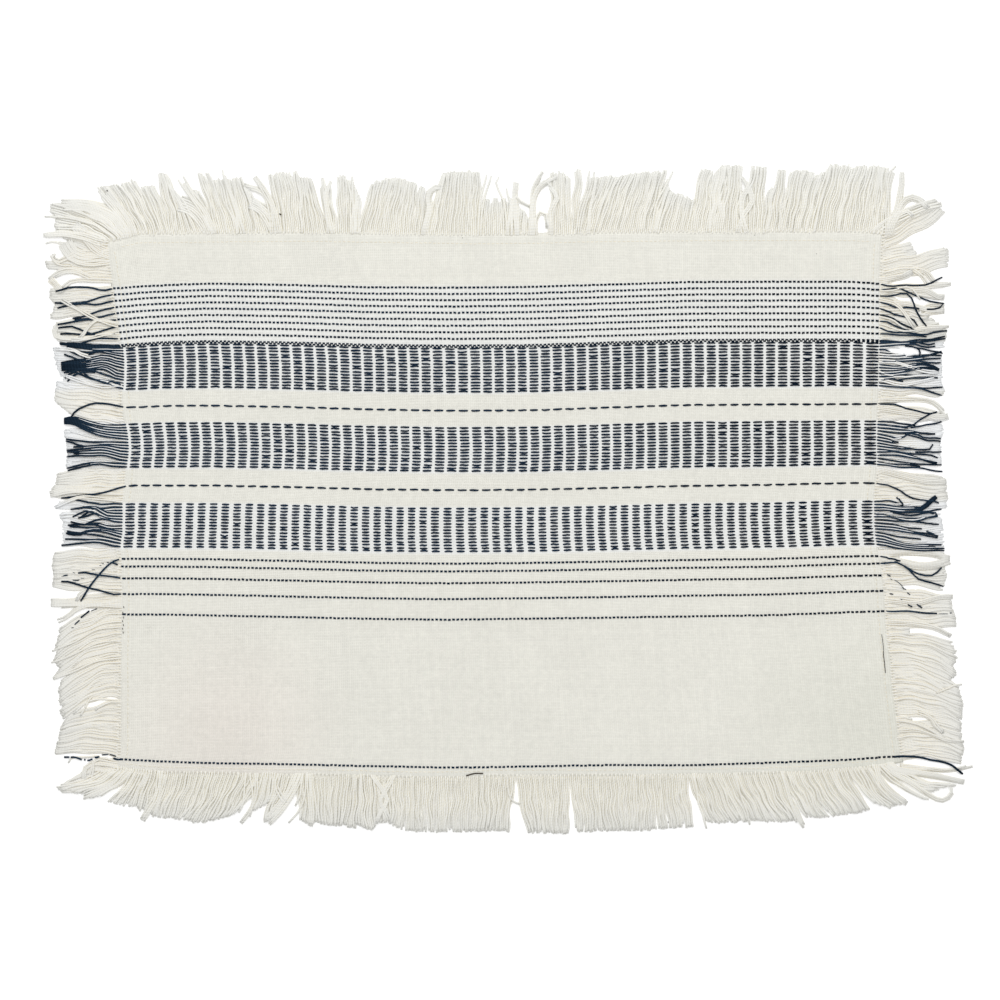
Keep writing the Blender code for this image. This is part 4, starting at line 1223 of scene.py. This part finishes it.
# The ivory yarns between navy ends: start height, half width and half height, and how many points they have
BETWEEN_LIE = (0.4, 0.30, 0.28)
BETWEEN_POINTS, BETWEEN_SHORTEST = 14, 6
CROSSING_LIE = (LOCK_START, 0.5, 0.32)  # the same for the ivory that crosses them


def row_end(edge, pick):
    """Where a navy pick's loose end comes up: at the edge, or on the left inside it if the pick floats."""
    if edge == "right":
        warp = LAST_WARP - 1.2
    else:
        warp = FIRST_WARP + 0.6 if pick in DOTTED_PICKS else 0.0
    x, y = mat_point(np.array([warp]), np.array([pick + 0.5]))
    return np.array([x[0], y[0]])


def navy_routes(edge, locks):
    """The loose navy ends by pick, and the ends that lie free of the edge.

    A pick takes the route that starts nearest to it, or else follows a neighbour's.
    """
    routes = [route for lock in locks for route in lock_routes(lock, edge, 0.0)]
    at_edge = [bool(inset(route[:1, 0], route[:1, 1])[0] > -AT_THE_EDGE) for route in routes]
    ends = [row_end(edge, pick) for pick in NAVY_ROWS]
    taken = {}
    for route in itertools.compress(routes, at_edge):
        away = [abs(route[0, 1] - end[1]) + TAKEN_ALREADY * (k in taken) for k, end in enumerate(ends)]
        nearest = int(np.argmin(away))
        if away[nearest] < AT_THE_EDGE:
            taken[nearest] = route
    ready = {}
    for k, end in enumerate(ends):
        if (edge, NAVY_ROWS[k]) in HIDDEN_ENDS:
            continue
        own = k in taken
        near = k if own else min(taken, key=lambda other: abs(ends[other][1] - end[1]))
        route = taken[near]
        along = np.linalg.norm(route - route[0], axis=1)
        fade = 1 - ease(along / (OWN_FADE if own else BORROWED_FADE))
        shift = np.stack([np.zeros(len(route)), (end[1] - route[0, 1]) * fade], axis=1)
        if not own:
            shift[:, 1] += rng.uniform(0.5, 1.1) * np.sin(along / rng.uniform(4, 7)) * ease(along / 8.0)
        moved = (route + shift)[along > CLEAR_OF_EDGE]
        ready[NAVY_ROWS[k]] = np.concatenate([[end], [0.5 * end + 0.5 * moved[0]], moved])
    return ready, [route for route, near in zip(routes, at_edge) if not near]


def side_yarns(edge, tufts, locks, navy_locks, crossing):
    """The loose weft along a short edge: ivory tufts, navy ends, ivory between them, and what crosses it."""
    ivory = fringe_yarns(edge, tufts, locks)
    rooted, free = navy_routes(edge, navy_locks)
    half_width = NAVY_HALF_WIDTH[edge]
    navy = []
    for pick, route in rooted.items():
        navy.append(lay(route, LOCK_START, half_width, NAVY_HALF_HEIGHT))
        if pick + 2 in rooted and pick >= FLOAT_BANDS[0][0]:
            following = resampled(rooted[pick + 2], BETWEEN_POINTS)
            between = (resampled(route, BETWEEN_POINTS) + following) / 2
            ivory.append(lay(between[: rng.integers(BETWEEN_SHORTEST, BETWEEN_POINTS)], *BETWEEN_LIE))
    navy += [lay(route, LOCK_START, half_width, NAVY_HALF_HEIGHT) for route in free]
    for width, points in BROKEN_ENDS[edge]:
        navy.append(lay(smooth_route(points, FINE_SPACING), LOCK_START, width, 0.6 * width + 0.08))
    for lock in crossing:
        ivory += [lay(route, *CROSSING_LIE) for route in lock_routes(lock, edge)]
    return ivory, navy


# ---------------------------------------------------------------- stitching and stray threads

STITCH_PITCH = 2.4
STITCH_ENDS = (-0.85, -0.45, 0.45, 0.85)
STITCH_HEIGHTS = (-0.12, -0.02, -0.02, -0.12)
STITCH_HALF_WIDTH, STITCH_HALF_HEIGHT = 0.22, 0.15
STITCH_WANDER = 0.12


def stitch_line(edge, how_far_in, low, high):
    """A row of small stitches along one edge, inside the cloth."""
    stitches = []
    for place in np.arange(low, high, STITCH_PITCH):
        ends = []
        for shift in STITCH_ENDS:
            point, out = edge_point(edge, place + shift)
            wander = STITCH_WANDER * rng.standard_normal() * (abs(shift) < 0.5)
            ends.append(point - out * (how_far_in + wander))
        line = np.array(ends)
        height = cloth_top(line[:, 0], line[:, 1]) + np.array(STITCH_HEIGHTS)
        path = np.column_stack([line, height])
        thick, high_up = np.full(4, STITCH_HALF_WIDTH), np.full(4, STITCH_HALF_HEIGHT)
        stitches.append((path, thick, high_up, rng.random()))
    return stitches


def edge_stitching():
    """The stitching all round. The rows differ in how far inside the edge they run, and where they end."""
    rows = stitch_line("top", 5.6, -205, 192) + stitch_line("bottom", 3.6, -203, 202)
    rows += stitch_line("left", 4.6, -138, 133) + stitch_line("right", 4.6, -134, 137)
    return yarn_mesh("edge_stitching", rows, WOVEN_SIDES)


# Half a thread's width, and its route
STRAY_THREADS = [
    (0.13, [(198.5, -72), (199, -75), (199.5, -79.5), (199.5, -82)]),
    (0.17, [(199.5, -81), (199.5, -83), (200, -87), (200.5, -92.5)]),
    (0.34, [(-22.5, -147.2), (-18, -146), (-13.5, -146)]),
]
# A speck's place, and half its length
HUSKS = [
    (-213.5, 164, 0.55), (-121.5, 151.5, 0.75), (-24.5, 139, 0.5), (131, 140.5, 0.5), (164, 130.5, 0.5),
    (85, -172, 0.45), (-182, 7, 0.4),
]
# A row of small dark stitches beside the left edge.
DARK_STITCHES = [
    (-204.7, -57.5), (-205.2, -60.5), (-204.8, -63), (-205.3, -65), (-204.9, -67), (-205.3, -69),
    (-205, -71),
]
THREAD_LIFT = 0.25
THREAD_TINT, HUSK_TINT = 0.3, 0.8


def stray_threads():
    """The few dark ends of sewing thread, and the specks of husk that cotton keeps."""
    bits = []
    dashes = [(0.18, [(x - 0.1, y + 0.45), (x + 0.1, y - 0.45)]) for x, y in DARK_STITCHES]
    for radius, points in STRAY_THREADS + dashes:
        line = smooth_route(points, FINE_SPACING)
        height = np.full(len(line), CLOTH_TOP + THREAD_LIFT) + lift(line[:, 0], line[:, 1])
        thick = np.full(len(line), radius)
        bits.append((np.column_stack([line, height]), thick, thick, THREAD_TINT))
    for x, y, size in HUSKS:
        turn = rng.uniform(0, 3.1)
        reach = size * np.array([-1.0, -0.5, 0.2, 0.8])
        line = np.stack([x + reach * math.cos(turn), y + reach * math.sin(turn)], axis=1)
        cell = ((np.array([x, y]) - PILE_LOW) / CELL).astype(int)
        height = np.full(4, pile[cell[0], cell[1]] + 0.12)
        bulk = size * np.array([0.25, 0.62, 0.55, 0.2])
        bits.append((np.column_stack([line, height]), bulk, bulk * 0.6, HUSK_TINT))
    return yarn_mesh("stray_threads", bits, LOOSE_SIDES)


# ---------------------------------------------------------------- materials


class Wiring:
    """Adds nodes to a material and wires them up."""

    def __init__(self, name):
        self.material = bpy.data.materials.new(name)
        self.material.use_nodes = True
        self.tree = self.material.node_tree
        self.shader = self.tree.nodes["Principled BSDF"]

    def node(self, kind, **settings):
        made = self.tree.nodes.new(kind)
        for key, value in settings.items():
            setattr(made, key, value)
        return made

    def set(self, socket, value):
        if isinstance(value, bpy.types.NodeSocket):
            self.tree.links.new(value, socket)
        else:
            socket.default_value = value

    def math(self, operation, *values, clamp=False):
        made = self.node("ShaderNodeMath", operation=operation, use_clamp=clamp)
        for socket, value in zip(made.inputs, values):
            self.set(socket, value)
        return made.outputs[0]

    def blend(self, amount, low, high):
        """Mixes two colours."""
        made = self.node("ShaderNodeMix", data_type="RGBA")
        self.set(made.inputs["Factor"], amount)
        for socket, value in ((made.inputs[6], low), (made.inputs[7], high)):
            self.set(socket, (*value, 1.0) if isinstance(value, tuple) else value)
        return made.outputs[2]

    def times(self, colour, tone):
        """Multiplies two colours."""
        made = self.node("ShaderNodeVectorMath", operation="MULTIPLY")
        self.set(made.inputs[0], colour)
        self.set(made.inputs[1], tone)
        return made.outputs[0]

    def noise(self, vector, scale, detail=2.0, roughness=0.5):
        made = self.node("ShaderNodeTexNoise")
        self.set(made.inputs["Vector"], vector)
        self.set(made.inputs["Scale"], scale)
        self.set(made.inputs["Detail"], detail)
        self.set(made.inputs["Roughness"], roughness)
        return made.outputs["Fac"]

    def chance(self, value):
        """A random number for each whole number."""
        made = self.node("ShaderNodeTexWhiteNoise", noise_dimensions="1D")
        self.set(made.inputs["W"], value)
        return made.outputs["Value"]

    def span(self, value, low, high, to_low=0.0, to_high=1.0):
        """Goes smoothly from one value to another between two places, which may be in falling order."""
        made = self.node("ShaderNodeMapRange", interpolation_type="SMOOTHSTEP")
        for socket, number in zip(made.inputs, (value, low, high, to_low, to_high)):
            self.set(socket, number)
        return made.outputs[0]

    def distance(self, place, x, y):
        """How far a place is from a spot on the cloth, given in millimetres."""
        away = self.node("ShaderNodeVectorMath", operation="DISTANCE")
        self.set(away.inputs[0], place)
        away.inputs[1].default_value = (x * MM, y * MM, CLOTH_TOP * MM)
        return away.outputs["Value"]

    def stains(self, place):
        """Soft round marks at a few places on the cloth."""
        total = None
        for (x, y), size in STAINS:
            mark = self.span(self.distance(place, x, y), size * MM, 0.0)
            total = mark if total is None else self.math("MAXIMUM", total, mark)
        broken = self.span(self.noise(place, 900.0, 3.0), 0.35, 0.75)
        return self.math("MULTIPLY", total, broken)

    def bump(self, height, strength, distance):
        made = self.node("ShaderNodeBump")
        self.set(made.inputs["Strength"], strength)
        self.set(made.inputs["Distance"], distance)
        self.set(made.inputs["Height"], height)
        self.set(self.shader.inputs["Normal"], made.outputs["Normal"])

    def finish(self, colour, roughness, sheen=0.0, shine=0.2):
        self.set(self.shader.inputs["Base Color"], colour)
        self.set(self.shader.inputs["Roughness"], roughness)
        self.shader.inputs["Specular IOR Level"].default_value = shine
        self.shader.inputs["Sheen Weight"].default_value = sheen
        self.shader.inputs["Sheen Roughness"].default_value = 0.5
        return self.material


UNTOUCHED = (1.0, 1.0, 1.0)
YARN_ROUNDNESS = 3.6
CRIMP = 0.42  # how far a yarn goes up and down over its neighbours, as a share of its height
# Soft patches on the cloth: place, size, and its share of each colour. The left one is pinker and a little
# darker; the right one is painted shade, darker all over.
TINT_AND_SHADE_PATCHES = [((-150, -125), 80, (0.995, 0.962, 0.966)), ((195, -125), 100, (0.958, 0.965, 0.950))]
# Small grey marks: place and size
STAINS = [((-191.5, -68), 5.0), ((-143.5, -76), 4.0), ((-198.5, 126), 5.0), ((-160, -51), 3.0)]
STAIN_GREY = (0.47, 0.45, 0.40)
# The cloth's own bump, and a loose yarn's: strength, and depth in metres
WEAVE_BUMP, PLY_BUMP = (0.55, 0.00028), (0.5, 0.00016)
PLY_TURNS = 0.62  # turns of the ply in a millimetre


def plain_weave():
    """Ivory plain weave, yarn by yarn, from the warp and pick numbers in the cloth's own map."""
    w = Wiring("ivory_plain_weave")
    place = w.node("ShaderNodeTexCoord").outputs["Object"]
    split = w.node("ShaderNodeSeparateXYZ")
    w.set(split.inputs[0], w.node("ShaderNodeUVMap", uv_map="weave").outputs["UV"])
    stray = w.math("MULTIPLY", w.math("SUBTRACT", w.noise(place, 260.0, 2.0), 0.5), 0.5)
    warp = w.math("SUBTRACT", w.math("MULTIPLY", split.outputs[0], UV_RANGE), UV_SHIFT)
    pick = w.math("SUBTRACT", w.math("MULTIPLY", split.outputs[1], UV_RANGE), 0.5)
    warp = w.math("ADD", warp, stray)
    pick = w.math("ADD", pick, w.math("MULTIPLY", stray, -1.0))
    warp_number, pick_number = w.math("ROUND", warp), w.math("ROUND", pick)

    def strand(across, number, along, sign):
        off = w.math("SUBTRACT", across, number)
        round_top = w.math("SUBTRACT", 1.0, w.math("MULTIPLY", w.math("MULTIPLY", off, off), YARN_ROUNDNESS))
        side = w.math("COSINE", w.math("MULTIPLY", number, math.pi))
        wave = w.math("COSINE", w.math("MULTIPLY", along, math.pi))
        return w.math("ADD", w.math("MULTIPLY", w.math("MULTIPLY", side, wave), CRIMP * sign), round_top)

    warp_height = strand(warp, warp_number, pick, 1.0)
    weft_height = strand(pick, pick_number, warp, -1.0)
    height = w.math("MAXIMUM", warp_height, weft_height)
    weft_on_top = w.math("GREATER_THAN", weft_height, warp_height)
    warp_tint, weft_tint = w.chance(warp_number), w.chance(w.math("ADD", pick_number, 1000.5))
    tint = w.math(
        "ADD",
        w.math("MULTIPLY", weft_tint, weft_on_top),
        w.math("MULTIPLY", warp_tint, w.math("SUBTRACT", 1.0, weft_on_top)),
    )
    stretch = w.node("ShaderNodeMapping")
    w.set(stretch.inputs["Vector"], place)
    stretch.inputs["Scale"].default_value = (1.0, 9.0, 1.0)
    slubs = w.span(w.noise(stretch.outputs[0], 90.0, 3.0), 0.52, 0.75)
    clouds = w.noise(place, 22.0, 3.0, 0.6)
    # Painted shade: the cloth is darker where its yarns dip, in the gaps between them.
    gap = w.span(height, 0.45, 1.05)
    depth = w.math("MULTIPLY", w.math("SUBTRACT", 1.0, gap), 0.55, clamp=True)
    colour = w.blend(depth, IVORY, IVORY_GAP_PAINTED_SHADE)
    amount = w.math("MULTIPLY", w.math("SUBTRACT", tint, 0.5), 0.05)
    amount = w.math("ADD", amount, w.math("MULTIPLY", w.math("SUBTRACT", clouds, 0.5), 0.12))
    flecks = w.noise(place, 420.0, 3.0, 0.65)
    amount = w.math("ADD", amount, w.math("MULTIPLY", w.math("SUBTRACT", flecks, 0.5), 0.22))
    amount = w.math("ADD", amount, w.math("MULTIPLY", slubs, 0.03))
    # Painted brightening of the ivory in and near the navy stripes, against the shade that the navy yarns
    # cast there.
    shade_lift = w.math("MULTIPLY", w.math("MULTIPLY", w.span(pick, 31.0, 35.0), w.span(pick, 74.0, 70.0)), 0.7)
    for first, last, _ in FLOAT_BANDS:
        inside = w.math("MULTIPLY", w.span(pick, first - 2.0, first), w.span(pick, last + 2.5, last + 0.5))
        shade_lift = w.math("MAXIMUM", shade_lift, inside)
    colour = w.times(colour, w.blend(shade_lift, UNTOUCHED, NAVY_SHADE_LIFT))
    # The patches: a pinker one on the left, and painted shade on the right.
    for (x, y), size, tone in TINT_AND_SHADE_PATCHES:
        near = w.span(w.distance(place, x, y), size * MM, 0.0)
        colour = w.times(colour, w.blend(near, UNTOUCHED, tone))
    scale = w.node("ShaderNodeVectorMath", operation="SCALE")
    w.set(scale.inputs[0], colour)
    w.set(scale.inputs["Scale"], w.math("ADD", amount, 1.0))
    stain = w.math("MULTIPLY", w.stains(place), 0.30)
    final = w.blend(stain, scale.outputs[0], STAIN_GREY)
    fibre = w.noise(place, 2600.0, 2.0, 0.6)
    w.bump(w.math("ADD", height, w.math("MULTIPLY", fibre, 0.35)), *WEAVE_BUMP)
    return w.finish(final, w.math("ADD", 0.86, w.math("MULTIPLY", gap, 0.06)), 0.12)


def cotton_yarn(
    name, base, painted_light_tone, tip, twist_depth, side_depth, spread, sheen, side_from=0.5, side_to=1.0, navy_shade_lift_heights=()
):
    """Plied cotton: the ply's twist in bump and tone, a second tone on its sides, and each yarn's own tint.

    Between the heights that are given for the navy shade lift, it takes the painted brightening of the ivory
    between the navy stripes.
    """
    w = Wiring(name)
    split = w.node("ShaderNodeSeparateXYZ")
    w.set(split.inputs[0], w.node("ShaderNodeUVMap", uv_map="yarn").outputs["UV"])
    along = w.math("MULTIPLY", split.outputs[0], UV_LENGTH)
    place = w.node("ShaderNodeTexCoord").outputs["Object"]
    turn = w.math("ADD", w.math("MULTIPLY", along, PLY_TURNS), split.outputs[1])
    loose = w.math("MULTIPLY", w.noise(place, 420.0, 2.0), 0.7)
    wave = w.math("COSINE", w.math("MULTIPLY", w.math("ADD", turn, loose), 2 * math.pi))
    ply = w.math("MULTIPLY", w.math("ADD", wave, 1.0), 0.5)
    tint = w.node("ShaderNodeAttribute", attribute_name="tint").outputs["Fac"]
    share = w.node("ShaderNodeAttribute", attribute_name="share").outputs["Fac"]
    # Painted tone in the grooves of the ply's twist.
    painted_light_amount = w.math("MULTIPLY", w.math("SUBTRACT", 1.0, ply), twist_depth, clamp=True)
    fibre = w.noise(place, 3000.0, 2.0, 0.6)
    # Painted tone on the yarn's sides, where it meets its neighbours, fading towards the tip: painted shade
    # on the ivory yarns, painted sheen on the navy ones.
    side = w.math("ABSOLUTE", w.math("SINE", w.math("MULTIPLY", split.outputs[1], 2 * math.pi)))
    side = w.math("MULTIPLY", w.span(side, side_from, side_to), side_depth)
    side = w.math("MULTIPLY", side, w.math("SUBTRACT", 1.0, w.math("MULTIPLY", share, 0.6)))
    painted_light_amount = w.math("ADD", painted_light_amount, side)
    colour = w.blend(w.math("ADD", painted_light_amount, w.math("MULTIPLY", fibre, 0.12), clamp=True), base, painted_light_tone)
    colour = w.blend(w.math("MULTIPLY", w.span(share, 0.5, 1.0), 0.7), colour, tip)
    # Painted brightening near the navy ends, as on the cloth between the navy stripes.
    for low, high in navy_shade_lift_heights:
        axes = w.node("ShaderNodeSeparateXYZ")
        w.set(axes.inputs[0], place)
        inside = w.span(axes.outputs[1], (low - 3.0) * MM, (low + 1.0) * MM)
        inside = w.math("MULTIPLY", inside, w.span(axes.outputs[1], (high + 3.0) * MM, (high - 1.0) * MM))
        colour = w.times(colour, w.blend(inside, UNTOUCHED, NAVY_SHADE_LIFT))
    amount = w.math("MULTIPLY", w.math("SUBTRACT", tint, 0.5), spread)
    clouds = w.math("SUBTRACT", w.noise(place, 90.0, 3.0), 0.5)
    amount = w.math("ADD", amount, w.math("MULTIPLY", clouds, 0.10))
    scale = w.node("ShaderNodeVectorMath", operation="SCALE")
    w.set(scale.inputs[0], colour)
    w.set(scale.inputs["Scale"], w.math("ADD", amount, 1.0))
    w.bump(w.math("ADD", ply, w.math("MULTIPLY", fibre, 0.5)), *PLY_BUMP)
    return w.finish(scale.outputs[0], w.math("ADD", 0.84, w.math("MULTIPLY", ply, 0.08)), sheen, 0.05)


def floor_paper():
    """Pale paper, with a little light of its own so that the edges of the picture stay white."""
    w = Wiring("pale_paper")
    place = w.node("ShaderNodeTexCoord").outputs["Object"]
    grain = w.noise(place, 300.0, 2.0)
    colour = w.blend(grain, (0.97, 0.97, 0.97), (0.985, 0.985, 0.985))
    w.shader.inputs["Emission Color"].default_value = (1.0, 1.0, 1.0, 1.0)
    w.shader.inputs["Emission Strength"].default_value = FLOOR_GLOW
    return w.finish(colour, 0.95)


# ---------------------------------------------------------------- the studio

# The camera, the lamp and the floor are in metres, but the picture's centre is in millimetres.
PICTURE_CENTRE = (-4.53, -0.53)
CAMERA_HEIGHT = 1.479
LENS = 100.0
SENSOR = 36.0
DOME_STRENGTH = 0.67
LAMP_POWER = 29.5
LAMP_SIZE = 2.4
LAMP_PLACE = (0.0, 1.35, 1.7)
FLOOR_GLOW = 0.20
FLOOR_SIZE = 14.0
FLOOR_GAP = 0.02


def set_camera():
    lens = bpy.data.cameras.new("overhead")
    lens.lens, lens.sensor_width = LENS, SENSOR
    camera = bpy.data.objects.new("overhead", lens)
    camera.location = (PICTURE_CENTRE[0] * MM, PICTURE_CENTRE[1] * MM, CAMERA_HEIGHT)
    bpy.context.scene.collection.objects.link(camera)
    bpy.context.scene.camera = camera


def set_light():
    world = bpy.data.worlds.new("studio_dome")
    world.use_nodes = True
    sky = world.node_tree.nodes["Background"]
    sky.inputs["Color"].default_value = (1.0, 1.0, 1.0, 1.0)
    sky.inputs["Strength"].default_value = DOME_STRENGTH
    bpy.context.scene.world = world
    softbox = bpy.data.lights.new("softbox", "AREA")
    softbox.energy, softbox.size = LAMP_POWER, LAMP_SIZE
    lamp = bpy.data.objects.new("softbox", softbox)
    lamp.location = LAMP_PLACE
    lamp.rotation_euler = (-math.atan2(LAMP_PLACE[1], LAMP_PLACE[2]), 0, 0)
    bpy.context.scene.collection.objects.link(lamp)
    bpy.context.scene.view_settings.view_transform = "Standard"


def lay_floor():
    bm = bmesh.new()
    bmesh.ops.create_grid(bm, x_segments=2, y_segments=2, size=FLOOR_SIZE / 2)
    bmesh.ops.translate(bm, verts=bm.verts[:], vec=(0, 0, -FLOOR_GAP * MM))
    mesh = bpy.data.meshes.new("table_floor")
    bm.to_mesh(mesh)
    bm.free()
    floor = add_piece("table_floor", mesh)
    floor.data.materials.append(floor_paper())


# ---------------------------------------------------------------- putting it together

set_camera()
set_light()
lay_floor()
start_pile()

cloth = woven_cloth()
dots, bands = navy_weft()
top_yarns = fringe_yarns("top", TOP_TUFTS, TOP_LOCKS)
bottom_yarns = fringe_yarns("bottom", BOTTOM_TUFTS, BOTTOM_LOCKS)
left_yarns, left_navy = side_yarns("left", LEFT_TUFTS, LEFT_LOCKS, LEFT_NAVY, LEFT_OVER)
right_yarns, right_navy = side_yarns("right", RIGHT_TUFTS, RIGHT_LOCKS, RIGHT_NAVY, RIGHT_OVER)
top_fringe = yarn_mesh("fringe_yarn_top", top_yarns, LOOSE_SIDES)
bottom_fringe = yarn_mesh("fringe_yarn_bottom", bottom_yarns, LOOSE_SIDES)
navy_loose = yarn_mesh("fringe_yarn_navy", left_navy + right_navy, LOOSE_SIDES)
left_fringe = yarn_mesh("fringe_yarn_left", left_yarns, LOOSE_SIDES)
right_fringe = yarn_mesh("fringe_yarn_right", right_yarns, LOOSE_SIDES)
fringes = {"top": top_fringe, "bottom": bottom_fringe, "left": left_fringe, "right": right_fringe}
stitching = edge_stitching()
strays = stray_threads()

weave = plain_weave()
# After the three tones (base, the painted tone for grooves and sides, tip): how strongly the painted tone
# shows in the twist's grooves and on the sides, how much yarns differ, and their sheen. The painted tone is
# painted shade on the ivory yarns, the stitching and the husk, and painted sheen on the navy yarns.
ivory_yarn = cotton_yarn("ivory_cotton_yarn", LOOSE_IVORY, YARN_PAINTED_SHADE, TIP_IVORY, 0.20, 0.85, 0.06, 0.12)
# Painted shade: darker copies of the ivory yarn's colours for the bottom and side fringes.
shaded = [tuple(SHADE * share for share in colour) for colour in (LOOSE_IVORY, YARN_WARM_PAINTED_SHADE, TIP_IVORY)]
shaded_yarn = cotton_yarn("shaded_cotton_yarn", *shaded, 0.20, 0.80, 0.05, 0.12)
side_tones = [tuple(SIDE_SHADE * share for share in colour) for colour in (LOOSE_IVORY, YARN_TAN_PAINTED_SHADE, TIP_IVORY)]
side_yarn = cotton_yarn("side_cotton_yarn", *side_tones, 0.18, 0.85, 0.05, 0.12, 0.42, 0.95, NAVY_HEIGHTS)
# On the navy yarns the second tone is lighter: a painted sheen on their sides and in their twist's grooves.
navy_yarn = cotton_yarn("navy_cotton_yarn", NAVY, NAVY_PAINTED_SHEEN, NAVY, 0.14, 0.40, 0.5, 0.0)
loose_navy = cotton_yarn("loose_navy_yarn", LOOSE_NAVY, LOOSE_NAVY_PAINTED_SHEEN, LOOSE_NAVY, 0.14, 0.42, 0.5, 0.0)
stitch_cotton = cotton_yarn("stitching_cotton", STITCH, STITCH_GROOVE_PAINTED_SHADE, STITCH, 0.35, 0.0, 0.08, 0.1)
husk = cotton_yarn("dark_thread_and_husk", HUSK, HUSK_GROOVE_PAINTED_SHADE, HUSK, 0.4, 0.0, 0.5, 0.0)

FRINGE_YARNS = {"top": ivory_yarn, "bottom": shaded_yarn, "left": side_yarn, "right": side_yarn}
FINISHES = [
    (cloth, weave, "ivory_cloth"),
    (dots, navy_yarn, "navy_yarn"),
    (bands, navy_yarn, "navy_yarn"),
    (navy_loose, loose_navy, "navy_yarn"),
    (stitching, stitch_cotton, "ivory_cloth"),
    (strays, husk, "navy_yarn"),
    *((fringe, FRINGE_YARNS[edge], "ivory_fringe") for edge, fringe in fringes.items()),
]
for piece, material, slot in FINISHES:
    piece.data.materials.append(material)
    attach(piece, "root")

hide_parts("cloth")
for edge, fringe in fringes.items():
    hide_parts("fringe_" + edge)
